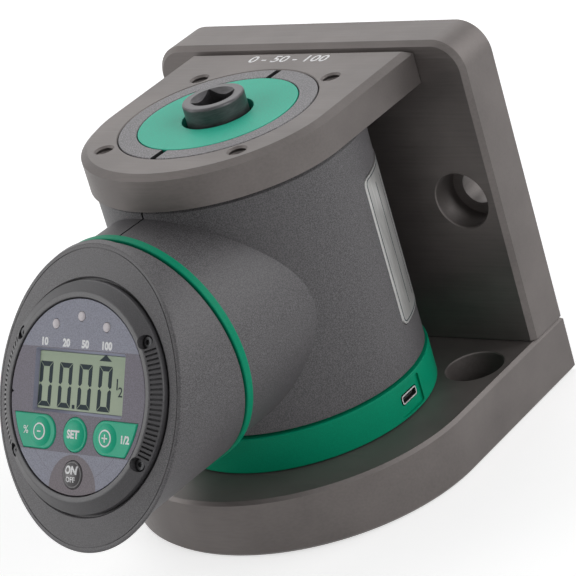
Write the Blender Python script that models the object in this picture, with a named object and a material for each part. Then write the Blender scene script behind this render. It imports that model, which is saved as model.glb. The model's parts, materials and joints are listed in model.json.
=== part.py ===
"""Bench tester for torque wrenches: a steel bracket, a swivelling housing and a display that turns.

The frame has +Z up, the display towards -Y and its origin under the bottom plate, on the axis of the
measuring shaft. All sizes are in metres. The liquid crystal display sets the size of the window, the
window that of the bezel, head, neck and column, and the column that of the bracket.
"""
from math import asin, atan2, cos, hypot, pi, radians, sin, sqrt, tan

import bmesh
import bpy
from mathutils import Matrix, Vector

# Clearance between pieces that touch
GAP = 0.0003

# Liquid crystal display and the front panel over it, in the panel's own plane
LCD_CENTRE_X = 0.0003
LCD_CENTRE_Y = 0.0040
LCD_OPENING_WIDTH = 0.0364
LCD_OPENING_HEIGHT = 0.0176
LCD_OPENING_DRAFT = 0.0007
LCD_BORDER = 0.0015
LCD_THICKNESS = 0.0020
LCD_CORNER_MARGIN = 0.0049
PANEL_RECESS = 0.0004
PANEL_THICKNESS = 0.0019
PANEL_NOTCH = 0.0011

# Status lights above the display
LIGHT_RADIUS = 0.00135
LIGHT_PROUD = 0.0002
LIGHT_INSET = 0.0052
LIGHT_SPREAD = radians(27.6)

# Keys in the front panel
KEY_RADIUS = 0.0048
KEY_ROW_DROP = 0.0008
KEY_WEB = 0.0028
KEY_RIM_MARGIN = 0.0018
KEY_PROUD = 0.0004
KEY_EDGE = 0.0004
KEY_BOTTOM = 0.0026
KEY_POST_RADIUS = 0.0012
KEY_POST_CLEARANCE = 0.0008
CLEAR_KEY_RADIUS = 0.0039
CLEAR_KEY_INSET = 0.0060

# Bezel of the display, measured from the face plane
DISPLAY_TURN = radians(-4.8)
BEZEL_TOP = 0.0046
BEZEL_FLAT_WIDTH = 0.0016
BEZEL_CONE_WIDTH = 0.0034
BEZEL_CONE_DROP = 0.0023
BEZEL_LEDGE = 0.0020
BEZEL_LEDGE_WIDTH = 0.0014
GRIP_SLOT_COUNT = 23
GRIP_HALF_ANGLE = radians(26.0)
GRIP_SLOT_WIDTH = 0.0006
GRIP_SLOT_DEPTH = 0.0006
GRIP_SLOT_INNER_MARGIN = 0.0005
GRIP_SLOT_OUTER_MARGIN = 0.0003

# Bezel screws
BEZEL_SCREW_INSET = 0.0024
BEZEL_SCREW_ANGLE = radians(33.4)
BEZEL_COUNTERBORE_RADIUS = 0.0020
BEZEL_COUNTERBORE_FLOOR = 0.0012
BEZEL_SCREW_HEAD_RADIUS = 0.0016
BEZEL_SCREW_HEAD_HEIGHT = 0.0011
BEZEL_SCREW_SHANK_RADIUS = 0.0008
BEZEL_SCREW_REACH = 0.0026
BEZEL_SCREW_SOCKET_WIDTH = 0.0014
BEZEL_SCREW_SOCKET_DEPTH = 0.0006

# Face ring on the head, level with the face plane at its rim
FACE_RIM_PROUD = 0.00115
FACE_RIM_THICKNESS = 0.0016
FACE_BORE_CLEARANCE = 0.0006
FACE_CROWN = 0.0011
FACE_CROWN_OVERRUN = 0.0016
FACE_LIP_WIDTH = 0.0011
FACE_LIP_THICKNESS = 0.0015

# Display cup and circuit board behind the bezel
CUP_RIM_OVERHANG = 0.0010
CUP_RIM_THICKNESS = 0.0015
CUP_STEP = 0.0036
CUP_WALL = 0.002
CUP_BOTTOM = 0.0080
CUP_FLOOR = 0.0012
BOARD_THICKNESS = 0.0016
BOARD_TOP = -0.0034
BOARD_CLEARANCE = 0.0004

# Head, an obliquely cut tube that turns on the green ring
HEAD_TURN = radians(6.5)
HEAD_CUP_CLEARANCE = 0.0006
HEAD_WALL = 0.00255
HEAD_REAR_WALL = 0.003
HEAD_SHORT_SIDE = 0.0038
FACE_TILT = radians(30.4)

# Green ring between the neck and the head
RING_PROUD = 0.00055
RING_WIDTH = 0.0027
RING_WALL = 0.0046
RING_REAR_HUB = 0.006
RING_FRONT_HUB = 0.003

# Housing, two half shells that swivel on the shaft's collar
HOUSING_TURN = radians(-3.8)
NECK_DROP = 0.0013
NECK_WALL = 0.0031
NECK_REACH = 0.0118
NECK_FOOT_RISE = 0.00005
NECK_HEADROOM = 0.00285
COLUMN_STEP = 0.0051
COLUMN_WALL = 0.0031
COLUMN_SHOULDER_CHAMFER = 0.0008
HOUSING_SLOT = 0.001
SPIGOT_RING_WIDTH = 0.0055
DISC_LEDGE_WIDTH = 0.0027
DISC_THICKNESS = 0.003
DISC_BORE_CLEARANCE = 0.00145

# Rating plate, which lies in a shallow pocket on the column
LABEL_MIDDLE = radians(33.3)
LABEL_SPAN = radians(40.0)
LABEL_FOOT_MARGIN = 0.0121
LABEL_SHOULDER_MARGIN = 0.0131
LABEL_CORNER = 0.0024
LABEL_THICKNESS = 0.0004
LABEL_POCKET_DEPTH = 0.0005

# Green base band with the data socket
BAND_PROUD = 0.0008
BAND_WALL = 0.0045
BAND_HEIGHT = 0.0113
BAND_LIP_WIDTH = 0.0022
BAND_LIP_HEIGHT = 0.0004
BAND_CHAMFER = 0.0003
USB_CENTRE_Y = -0.0004
USB_RECESS_WIDTH = 0.0116
USB_RECESS_FOOT_MARGIN = 0.0008
USB_RECESS_TOP_MARGIN = 0.0013
USB_RECESS_DEPTH = 0.0010
USB_WIDTH = 0.0076
USB_HEIGHT = 0.0028
USB_WALL = 0.00035
USB_DEPTH = 0.0050
USB_PROUD = 0.0002
USB_TONGUE_WIDTH = 0.0048
USB_TONGUE_THICKNESS = 0.0007
USB_TONGUE_SETBACK = 0.0007
USB_BOARD_THICKNESS = 0.0012
USB_BOARD_WIDTH = 0.014

# Bottom plate
PLATE_MARGIN = 0.0163
PLATE_FRONT_CENTRE_Y = -0.0005
BOTTOM_THICKNESS = 0.018
BOTTOM_CHAMFER = 0.001

# Back plate, which stands on the bottom plate
BACK_CLEARANCE = 0.0033
BACK_THICKNESS = 0.0167
BACK_RISE = 0.0018
BACK_CORNER_RADIUS = 0.010
BACK_FRONT_CHAMFER = 0.0015
BACK_REAR_CHAMFER = 0.0008

# Top plate, which is held by the back plate
TOP_THICKNESS = 0.0109
TOP_BORE_RADIUS = 0.030
TOP_RIM_WIDTH = 0.0107
TOP_FRONT_CENTRE_Y = -0.0009
TOP_CHAMFER_WIDTH = 0.0022
TOP_CHAMFER_DEPTH = 0.0015
TAPPED_HOLE_MARGIN = 0.0042
TAPPED_HOLE_RADIUS = 0.0025
TAPPED_HOLE_COUNTERSINK = 0.0005

# Counterbored holes that bolt the bracket to a bench or a wall
MOUNT_BORE_RADIUS = 0.0055
MOUNT_COUNTERBORE_RADIUS = 0.00885
MOUNT_COUNTERBORE_DEPTH = 0.010
BOTTOM_MOUNT_SIDE_MARGIN = 0.0121
BOTTOM_MOUNT_BACK_MARGIN = 0.0158
BACK_MOUNT_SIDE_MARGIN = 0.0129
BACK_MOUNT_RISE = 0.0467

# Cap screws that hold the plates and the shaft together
CAP_SHANK_RADIUS = 0.003
CAP_HEAD_RADIUS = 0.005
CAP_HEAD_HEIGHT = 0.005
CAP_SOCKET_WIDTH = 0.005
CAP_SOCKET_DEPTH = 0.003
CAP_SUNK = 0.001
CAP_GRIP = 0.012
PLATE_SCREW_SIDE_MARGIN = 0.0164
TOP_SCREW_SIDE_MARGIN = 0.0157
SCREW_EDGE_SHARE = 0.1

# Measuring shaft with the square socket
SOCKET_SQUARE = 0.0096
SOCKET_DEPTH = 0.0135
SOCKET_LEAD_IN_WIDTH = 0.0018
SOCKET_LEAD_IN_DEPTH = 0.0016
BOSS_RIM_WIDTH = 0.00265
BOSS_HEIGHT = 0.0054
BOSS_CHAMFER = 0.0008
SHAFT_END_RADIUS = 0.016
SHAFT_END_LENGTH = 0.0117
SHAFT_END_TAPER = 0.008
SHAFT_GAUGE_RADIUS = 0.011
SHAFT_COLLAR_TAPER = 0.012
SHAFT_COLLAR_LENGTH = 0.0165
SHAFT_COLLAR_DROP = 0.0023
SHAFT_SCREW_MARGIN = 0.006
SHAFT_FLANGE_MARGIN = 0.007
SHAFT_FLANGE_THICKNESS = 0.008
SHAFT_SCREW_COVER = 0.0024

# Facets round a full turn
FINE = 64
ROUND = 48
MEDIUM = 28
COARSE = 24
SMALL = 12

# Steps round a quarter turn
WIDE_CORNER_STEPS = 8
NARROW_CORNER_STEPS = 4
SHARP_CORNER_STEPS = 2

# Lengths that run past a piece so that a cut goes right through
JUST_PAST = 0.0005
PAST = 0.002
FAR = 0.2

# Points closer than this are one point
MERGE_DISTANCE = 1e-6

SMOOTH_ANGLE = radians(35)

# Radii of the display, each worked out from the one before it
LCD_CORNER = (LCD_CENTRE_X + LCD_OPENING_WIDTH / 2, LCD_CENTRE_Y + LCD_OPENING_HEIGHT / 2)
WINDOW_RADIUS = hypot(*LCD_CORNER) + LCD_CORNER_MARGIN
PANEL_RADIUS = WINDOW_RADIUS - GAP
BEZEL_INNER_RADIUS = WINDOW_RADIUS - BEZEL_LEDGE_WIDTH
BEZEL_RING_RADIUS = WINDOW_RADIUS + BEZEL_FLAT_WIDTH
BEZEL_RADIUS = BEZEL_RING_RADIUS + BEZEL_CONE_WIDTH
FACE_BORE_RADIUS = BEZEL_RADIUS + FACE_BORE_CLEARANCE
FACE_LIP_RADIUS = FACE_BORE_RADIUS - FACE_LIP_WIDTH
CUP_HUB_RADIUS = FACE_LIP_RADIUS - GAP
CUP_RIM_RADIUS = CUP_HUB_RADIUS + CUP_RIM_OVERHANG

# Radii of the head, neck and column
HEAD_INNER_RADIUS = CUP_RIM_RADIUS + HEAD_CUP_CLEARANCE
HEAD_RADIUS = HEAD_INNER_RADIUS + HEAD_WALL
RING_RADIUS = HEAD_RADIUS + RING_PROUD
FACE_RIM_RADIUS = HEAD_RADIUS + FACE_RIM_PROUD
NECK_RADIUS = RING_RADIUS - NECK_DROP
NECK_BORE_RADIUS = NECK_RADIUS - NECK_WALL
COLUMN_RADIUS = NECK_RADIUS + COLUMN_STEP
BAND_RADIUS = COLUMN_RADIUS + BAND_PROUD
SPIGOT_RADIUS = TOP_BORE_RADIUS - GAP
SPIGOT_INNER_RADIUS = SPIGOT_RADIUS - SPIGOT_RING_WIDTH
COLLAR_SEAT_RADIUS = SPIGOT_INNER_RADIUS - DISC_LEDGE_WIDTH

# Distances along the neck from the column's axis
NECK_END = COLUMN_RADIUS + NECK_REACH
RING_START = NECK_END + GAP
RING_END = RING_START + RING_WIDTH
HEAD_START = RING_END + GAP
FACE_DISTANCE = HEAD_START + HEAD_SHORT_SIDE + HEAD_RADIUS * tan(FACE_TILT)

# Heights, from the bench upwards
PLATE_TOP_Z = BOTTOM_THICKNESS + GAP
BAND_TOP_Z = PLATE_TOP_Z + BAND_HEIGHT
HOUSING_FOOT_Z = BAND_TOP_Z + BAND_LIP_HEIGHT + GAP
NECK_AXIS_Z = HOUSING_FOOT_Z + NECK_RADIUS + NECK_FOOT_RISE
TOP_BOTTOM_Z = NECK_AXIS_Z + NECK_RADIUS + NECK_HEADROOM
TOP_Z = TOP_BOTTOM_Z + TOP_THICKNESS
SHOULDER_Z = TOP_BOTTOM_Z - 2 * GAP
DISC_SEAT_Z = TOP_Z - DISC_THICKNESS - GAP
BACK_TOP_Z = TOP_Z + BACK_RISE

# Outlines of the plates and places of their holes
PLATE_HALF_WIDTH = COLUMN_RADIUS + PLATE_MARGIN
TOP_HALF_WIDTH = TOP_BORE_RADIUS + TOP_RIM_WIDTH
BACK_FRONT_Y = COLUMN_RADIUS + BACK_CLEARANCE
BACK_REAR_Y = BACK_FRONT_Y + BACK_THICKNESS
BOTTOM_MOUNT_X = PLATE_HALF_WIDTH - BOTTOM_MOUNT_SIDE_MARGIN
BOTTOM_MOUNT_Y = BACK_FRONT_Y - BOTTOM_MOUNT_BACK_MARGIN
BACK_MOUNT_X = PLATE_HALF_WIDTH - BACK_MOUNT_SIDE_MARGIN
BACK_MOUNT_Z = BOTTOM_THICKNESS + BACK_MOUNT_RISE
SHAFT_SCREW_CIRCLE = SHAFT_END_RADIUS + SHAFT_SCREW_MARGIN
SHAFT_FLANGE_RADIUS = SHAFT_SCREW_CIRCLE + SHAFT_FLANGE_MARGIN


def remove_old_objects():
    for old in list(bpy.data.objects):
        bpy.data.objects.remove(old, do_unlink=True)


def material(name, colour, roughness, metallic=0.0):
    made = bpy.data.materials.new(name)
    made.use_nodes = True
    shader = made.node_tree.nodes["Principled BSDF"]
    shader.inputs["Base Color"].default_value = (*colour, 1.0)
    shader.inputs["Roughness"].default_value = roughness
    shader.inputs["Metallic"].default_value = metallic
    return made


def pivot(name, parent, matrix):
    """An empty on a joint's axis; what turns with the joint is parented to it."""
    empty = bpy.data.objects.new(name, None)
    bpy.context.scene.collection.objects.link(empty)
    empty.parent = parent
    empty.matrix_local = matrix
    return empty


def finish(bm, name):
    """Turns a bmesh into an object, with its faces pointing out."""
    bmesh.ops.remove_doubles(bm, verts=bm.verts, dist=MERGE_DISTANCE)
    bmesh.ops.recalc_face_normals(bm, faces=bm.faces)
    mesh = bpy.data.meshes.new(name)
    bm.to_mesh(mesh)
    bm.free()
    made = bpy.data.objects.new(name, mesh)
    bpy.context.scene.collection.objects.link(made)
    return made


def place(made, parent, matrix, finish_material):
    """Hangs a finished piece on its parent and gives it its material and shading."""
    made.parent = parent
    made.matrix_local = matrix
    made.data.materials.clear()
    made.data.materials.append(finish_material)
    made.data.shade_smooth()
    made.data.set_sharp_from_angle(angle=SMOOTH_ANGLE)
    return made


def turned(name, profile, steps):
    """A solid turned about Z from a closed outline of (radius, height) points."""
    bm = bmesh.new()
    corners = [bm.verts.new((radius, 0.0, height)) for radius, height in profile]
    edges = [bm.edges.new((corners[i - 1], corners[i])) for i in range(len(corners))
             if profile[i - 1][0] > 0.0 or profile[i][0] > 0.0]
    bmesh.ops.spin(bm, geom=corners + edges, cent=(0, 0, 0), axis=(0, 0, 1), dvec=(0, 0, 0),
                   angle=2 * pi, steps=steps, use_merge=True, use_duplicate=False)
    return finish(bm, name)


def lofted(name, levels):
    """A solid through closed outlines with equal numbers of (x, y) points, one for each height."""
    bm = bmesh.new()
    loops = [[bm.verts.new((x, y, height)) for x, y in outline] for outline, height in levels]
    bm.faces.new(reversed(loops[0]))
    bm.faces.new(loops[-1])
    for low, high in zip(loops, loops[1:]):
        for i in range(len(low)):
            bm.faces.new((low[i - 1], low[i], high[i], high[i - 1]))
    return finish(bm, name)


def block(name, low, high):
    """A box between two corners."""
    outline = [(low[0], low[1]), (high[0], low[1]), (high[0], high[1]), (low[0], high[1])]
    return lofted(name, [(outline, low[2]), (outline, high[2])])


def cylinder(name, radius, low, high, steps):
    """A plain cylinder on the Z axis."""
    return lofted(name, [(circle(radius, steps), low), (circle(radius, steps), high)])


def circle(radius, steps, centre=(0.0, 0.0)):
    return arc(centre, radius, 0.0, 2 * pi * (steps - 1) / steps, steps - 1)


def arc(centre, radius, start, end, steps):
    """Points on an arc, both ends included."""
    turns = [start + (end - start) * i / steps for i in range(steps + 1)]
    return [(centre[0] + radius * cos(turn), centre[1] + radius * sin(turn)) for turn in turns]


def rounded_box(centre, width, height, radius, steps=NARROW_CORNER_STEPS):
    """A rectangle with round corners."""
    points = []
    for i, (side_x, side_y) in enumerate(((1, 1), (-1, 1), (-1, -1), (1, -1))):
        corner = (centre[0] + side_x * (width / 2 - radius), centre[1] + side_y * (height / 2 - radius))
        points += arc(corner, radius, i * pi / 2, (i + 1) * pi / 2, steps)
    return points


def moved(made, matrix):
    """Moves a piece's mesh, so that it can be cut or joined there."""
    made.data.transform(matrix)
    return made


def merged(mesh):
    """Joins the points of a mesh that lie in one place."""
    bm = bmesh.new()
    bm.from_mesh(mesh)
    bmesh.ops.remove_doubles(bm, verts=bm.verts, dist=MERGE_DISTANCE)
    bm.to_mesh(mesh)
    bm.free()
    return mesh


def combine(target, tool, operation):
    """Applies an exact Boolean with a tool, which is then removed."""
    step = target.modifiers.new(operation.lower(), "BOOLEAN")
    step.operation = operation
    step.solver = "EXACT"
    step.object = tool
    bpy.context.view_layer.update()
    result = bpy.data.meshes.new_from_object(target.evaluated_get(bpy.context.evaluated_depsgraph_get()))
    target.modifiers.remove(step)
    target.data = merged(result)
    bpy.data.objects.remove(tool, do_unlink=True)
    return target


def cut(target, *tools):
    for tool in tools:
        combine(target, tool, "DIFFERENCE")
    return target


def counterbore(name, bore, wide, depth, through, steps=MEDIUM):
    """A stepped hole that starts at Z = 0 and goes down."""
    profile = [(0, PAST), (wide, PAST), (wide, -depth), (bore, -depth), (bore, -through), (0, -through)]
    return turned(name, profile, steps)


def cap_screw(name, grip, head_radius=CAP_HEAD_RADIUS, head_height=CAP_HEAD_HEIGHT,
              shank_radius=CAP_SHANK_RADIUS, socket=CAP_SOCKET_WIDTH, depth=CAP_SOCKET_DEPTH):
    """A screw along -Z whose head starts at Z = 0, with a hexagon socket."""
    edge = head_radius * SCREW_EDGE_SHARE
    profile = [(0, -grip), (shank_radius, -grip), (shank_radius, 0), (head_radius, 0),
               (head_radius, head_height - edge), (head_radius - edge, head_height), (0, head_height)]
    screw = turned(name, profile, SMALL)
    hexagon = circle(socket / sqrt(3), 6)
    cut(screw, lofted("socket", [(hexagon, head_height - depth), (hexagon, head_height + PAST)]))
    return screw


def plate_outline(half_width, centre_y, back_y, inset):
    """A plate that is square at the back and ends in a half circle at the front."""
    width = half_width - inset
    front = arc((0.0, centre_y), width, pi, 2 * pi, MEDIUM)
    return front + [(width, back_y - inset), (-width, back_y - inset)]


def bottom_plate(steel):
    levels = [(BOTTOM_CHAMFER, 0.0), (0.0, BOTTOM_CHAMFER),
              (0.0, BOTTOM_THICKNESS - BOTTOM_CHAMFER), (BOTTOM_CHAMFER, BOTTOM_THICKNESS)]
    outlines = [(plate_outline(PLATE_HALF_WIDTH, PLATE_FRONT_CENTRE_Y, BACK_REAR_Y, inset), height)
                for inset, height in levels]
    plate = lofted("bottom_plate", outlines)
    for side in (-1, 1):
        hole = counterbore("hole", MOUNT_BORE_RADIUS, MOUNT_COUNTERBORE_RADIUS, MOUNT_COUNTERBORE_DEPTH,
                           BOTTOM_THICKNESS + PAST)
        spot = (side * BOTTOM_MOUNT_X, BOTTOM_MOUNT_Y, BOTTOM_THICKNESS)
        cut(plate, moved(hole, Matrix.Translation(spot)))
    for spot in plate_screw_spots() + shaft_screw_spots():
        hole = counterbore("hole", CAP_SHANK_RADIUS + GAP, CAP_HEAD_RADIUS + GAP, screw_sink(),
                           BOTTOM_THICKNESS + PAST, SMALL)
        cut(plate, moved(hole, Matrix.Translation(spot) @ Matrix.Rotation(pi, 4, "X")))
    return place(plate, None, Matrix(), steel)


def screw_sink():
    """Depth of the counterbore of a cap screw, down to the seat of its head."""
    return CAP_SUNK + CAP_HEAD_HEIGHT


def plate_screw_spots():
    """Where screws go up through the bottom plate into the back plate."""
    side = PLATE_HALF_WIDTH - PLATE_SCREW_SIDE_MARGIN
    return [Vector((x, BACK_FRONT_Y + BACK_THICKNESS / 2, 0.0)) for x in (-side, 0.0, side)]


def shaft_screw_spots():
    """Where screws go up through the bottom plate into the shaft's flange."""
    turns = [pi / 4 + i * pi / 2 for i in range(4)]
    return [Vector((SHAFT_SCREW_CIRCLE * cos(turn), SHAFT_SCREW_CIRCLE * sin(turn), 0.0)) for turn in turns]


def top_screw_spots():
    """Where screws go through the back plate into the top plate."""
    side = TOP_HALF_WIDTH - TOP_SCREW_SIDE_MARGIN
    height = TOP_BOTTOM_Z + TOP_THICKNESS / 2
    return [Vector((x, BACK_REAR_Y, height)) for x in (-side, side)]


def screw_reach(through):
    """How far a cap screw's shank goes from the seat of its head through a plate and on by its grip."""
    return through - screw_sink() + CAP_GRIP


def back_plate_outline(inset):
    """Outline in X and Z, with round top corners and a square foot."""
    half = PLATE_HALF_WIDTH - inset
    radius = BACK_CORNER_RADIUS - inset
    top = BACK_TOP_Z - inset
    right = arc((half - radius, top - radius), radius, 0.0, pi / 2, WIDE_CORNER_STEPS)
    left = arc((radius - half, top - radius), radius, pi / 2, pi, WIDE_CORNER_STEPS)
    return [(-half, PLATE_TOP_Z), (half, PLATE_TOP_Z)] + right + left


def back_plate(steel):
    # The outline is lofted along +Z and then stood up, so heights here are distances from the front face
    levels = [(BACK_REAR_CHAMFER, -BACK_THICKNESS), (0.0, BACK_REAR_CHAMFER - BACK_THICKNESS),
              (0.0, -BACK_FRONT_CHAMFER), (BACK_FRONT_CHAMFER, 0.0)]
    plate = lofted("back_plate", [(back_plate_outline(inset), z) for inset, z in levels])
    moved(plate, Matrix.Translation((0, BACK_FRONT_Y, 0)) @ Matrix.Rotation(pi / 2, 4, "X"))
    for side in (-1, 1):
        hole = counterbore("hole", MOUNT_BORE_RADIUS, MOUNT_COUNTERBORE_RADIUS, MOUNT_COUNTERBORE_DEPTH,
                           BACK_THICKNESS + PAST)
        spot = Matrix.Translation((side * BACK_MOUNT_X, BACK_FRONT_Y, BACK_MOUNT_Z))
        cut(plate, moved(hole, spot @ Matrix.Rotation(pi / 2, 4, "X")))
    for spot in top_screw_spots():
        hole = counterbore("hole", CAP_SHANK_RADIUS + GAP, CAP_HEAD_RADIUS + GAP, screw_sink(),
                           BACK_THICKNESS + PAST, SMALL)
        cut(plate, moved(hole, Matrix.Translation(spot) @ Matrix.Rotation(-pi / 2, 4, "X")))
    for spot in plate_screw_spots():
        depth = PLATE_TOP_Z + CAP_GRIP + GAP
        hole = cylinder("hole", CAP_SHANK_RADIUS + GAP, 0.0, depth, SMALL)
        cut(plate, moved(hole, Matrix.Translation(spot)))
    return place(plate, None, Matrix(), steel)


def top_plate(steel):
    back_y = BACK_FRONT_Y - GAP
    levels = [(0.0, TOP_BOTTOM_Z), (0.0, TOP_Z - TOP_CHAMFER_DEPTH), (TOP_CHAMFER_WIDTH, TOP_Z)]
    plate = lofted("top_plate", [(plate_outline(TOP_HALF_WIDTH, TOP_FRONT_CENTRE_Y, back_y, inset), z)
                                 for inset, z in levels])
    cut(plate, cylinder("bore", TOP_BORE_RADIUS, TOP_BOTTOM_Z - PAST, TOP_Z + PAST, ROUND))
    half = (TOP_BORE_RADIUS + TAPPED_HOLE_MARGIN) / sqrt(2)
    sink = TAPPED_HOLE_COUNTERSINK
    profile = [(0, sink), (TAPPED_HOLE_RADIUS + 2 * sink, sink), (TAPPED_HOLE_RADIUS, -sink),
               (TAPPED_HOLE_RADIUS, -TOP_THICKNESS - PAST), (0, -TOP_THICKNESS - PAST)]
    for x, y in ((-half, -half), (half, -half), (-half, half), (half, half)):
        cut(plate, moved(turned("hole", profile, SMALL), Matrix.Translation((x, y, TOP_Z))))
    for spot in top_screw_spots():
        hole = cylinder("hole", CAP_SHANK_RADIUS + GAP, -PAST, BACK_THICKNESS + CAP_GRIP + 2 * GAP, SMALL)
        cut(plate, moved(hole, Matrix.Translation(spot) @ Matrix.Rotation(pi / 2, 4, "X")))
    return place(plate, None, Matrix(), steel)


def bracket_screws(dark_steel):
    """Cap screws from below into the back plate and the shaft, and from behind into the top plate."""
    seat = screw_sink() - GAP
    from_below = [("plate_screw", plate_screw_spots()), ("shaft_screw", shaft_screw_spots())]
    for name, spots in from_below:
        for i, spot in enumerate(spots):
            turn = Matrix.Translation(spot + Vector((0, 0, seat))) @ Matrix.Rotation(pi, 4, "X")
            reach = screw_reach(BOTTOM_THICKNESS) if name == "plate_screw" else shaft_screw_reach()
            place(cap_screw(f"{name}_{i + 1}", reach), None, turn, dark_steel)
    for i, spot in enumerate(top_screw_spots()):
        turn = Matrix.Translation(spot - Vector((0, seat, 0))) @ Matrix.Rotation(-pi / 2, 4, "X")
        place(cap_screw(f"top_screw_{i + 1}", screw_reach(BACK_THICKNESS)), None, turn, dark_steel)


def shaft_screw_reach():
    """The shaft's screws end short of the top of its flange."""
    return BOTTOM_THICKNESS - screw_sink() + SHAFT_FLANGE_THICKNESS - SHAFT_SCREW_COVER


def boss_radius():
    """The boss stands round the socket's lead-in with a rim."""
    return SOCKET_SQUARE / 2 + SOCKET_LEAD_IN_WIDTH + BOSS_RIM_WIDTH


def measuring_shaft(bright_steel):
    foot = PLATE_TOP_Z
    flange_top = foot + SHAFT_FLANGE_THICKNESS
    end_top = flange_top + SHAFT_END_LENGTH
    collar_top = DISC_SEAT_Z - SHAFT_COLLAR_DROP
    collar_low = collar_top - SHAFT_COLLAR_LENGTH
    top = TOP_Z + BOSS_HEIGHT
    collar = COLLAR_SEAT_RADIUS - GAP
    half = SOCKET_SQUARE / 2
    lead_in_radius = half + SOCKET_LEAD_IN_WIDTH
    boss = boss_radius()
    profile = [(0, foot), (SHAFT_FLANGE_RADIUS, foot), (SHAFT_FLANGE_RADIUS, flange_top),
               (SHAFT_END_RADIUS, flange_top), (SHAFT_END_RADIUS, end_top),
               (SHAFT_GAUGE_RADIUS, end_top + SHAFT_END_TAPER),
               (SHAFT_GAUGE_RADIUS, collar_low - SHAFT_COLLAR_TAPER),
               (collar, collar_low), (collar, collar_top), (boss, collar_top),
               (boss, top - BOSS_CHAMFER), (boss - BOSS_CHAMFER, top), (0, top)]
    shaft = turned("measuring_shaft", profile, MEDIUM)
    cut(shaft, block("socket", (-half, -half, top - SOCKET_DEPTH), (half, half, top + PAST)))
    slope = SOCKET_LEAD_IN_WIDTH / SOCKET_LEAD_IN_DEPTH
    lead_in = [(0, top - SOCKET_LEAD_IN_DEPTH), (half, top - SOCKET_LEAD_IN_DEPTH),
               (lead_in_radius + slope * PAST, top + PAST), (0, top + PAST)]
    cut(shaft, turned("lead_in", lead_in, MEDIUM))
    for spot in shaft_screw_spots():
        depth = screw_sink() + shaft_screw_reach() + GAP
        hole = cylinder("hole", CAP_SHANK_RADIUS + GAP, 0.0, depth, SMALL)
        cut(shaft, moved(hole, Matrix.Translation(spot)))
    return place(shaft, None, Matrix(), bright_steel)


def usb_centre():
    """Middle of the recess on the band, on the plane through the column's axis."""
    low = PLATE_TOP_Z + USB_RECESS_FOOT_MARGIN
    high = BAND_TOP_Z - USB_RECESS_TOP_MARGIN
    return Vector((0, USB_CENTRE_Y, (low + high) / 2))


def base_band(green):
    foot = PLATE_TOP_Z
    inner = BAND_RADIUS - BAND_WALL
    profile = [(inner, foot), (BAND_RADIUS, foot), (BAND_RADIUS, BAND_TOP_Z - BAND_CHAMFER),
               (BAND_RADIUS - BAND_CHAMFER, BAND_TOP_Z), (inner + BAND_LIP_WIDTH, BAND_TOP_Z),
               (inner + BAND_LIP_WIDTH, BAND_TOP_Z + BAND_LIP_HEIGHT), (inner, BAND_TOP_Z + BAND_LIP_HEIGHT)]
    band = turned("base_band", profile, ROUND)
    centre = usb_centre()
    recess_half = (BAND_HEIGHT - USB_RECESS_FOOT_MARGIN - USB_RECESS_TOP_MARGIN) / 2
    recess = Vector((0, USB_RECESS_WIDTH / 2, recess_half))
    cut(band, block("recess", centre - recess + Vector((BAND_RADIUS - USB_RECESS_DEPTH, 0, 0)),
                    centre + recess + Vector((BAND_RADIUS + PAST, 0, 0))))
    port = Vector((0, USB_WIDTH / 2 + GAP, USB_HEIGHT / 2 + GAP))
    cut(band, block("port", centre - port + Vector((inner - PAST, 0, 0)),
                    centre + port + Vector((BAND_RADIUS, 0, 0))))
    return place(band, None, Matrix(), green)


def data_socket(bright_steel, black):
    """The socket's steel shell, the tongue inside it and the small board that carries them."""
    front = BAND_RADIUS - USB_RECESS_DEPTH + USB_PROUD
    back = front - USB_DEPTH
    centre = usb_centre()
    half = Vector((0, USB_WIDTH / 2, USB_HEIGHT / 2))
    wall = Vector((0, USB_WALL, USB_WALL))
    shell = block("socket_shell", centre - half + Vector((back, 0, 0)), centre + half + Vector((front, 0, 0)))
    cut(shell, block("mouth", centre - half + wall + Vector((back + USB_WALL, 0, 0)),
                     centre + half - wall + Vector((front + PAST, 0, 0))))
    place(shell, None, Matrix(), bright_steel)
    tongue_half = Vector((0, USB_TONGUE_WIDTH / 2, USB_TONGUE_THICKNESS / 2))
    tongue = block("socket_tongue", centre - tongue_half + Vector((back + USB_WALL + GAP, 0, 0)),
                   centre + tongue_half + Vector((front - USB_TONGUE_SETBACK, 0, 0)))
    place(tongue, None, Matrix(), black)
    board_front = back - GAP
    low_z = PLATE_TOP_Z + GAP
    high_z = 2 * centre.z - low_z
    board_half = USB_BOARD_WIDTH / 2
    board = block("socket_board", (board_front - USB_BOARD_THICKNESS, USB_CENTRE_Y - board_half, low_z),
                  (board_front, USB_CENTRE_Y + board_half, high_z))
    place(board, None, Matrix(), black)


def neck_frame():
    """Frame of the neck in the housing: Z runs out along the neck, Y is up."""
    return Matrix.Translation((0, 0, NECK_AXIS_Z)) @ Matrix.Rotation(pi / 2, 4, "X")


def turned_column(name, profile):
    """A solid turned about Z, with an edge between two facets on the middle line of the rating plate."""
    return moved(turned(name, profile, ROUND), Matrix.Rotation(LABEL_MIDDLE, 4, "Z"))


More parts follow.
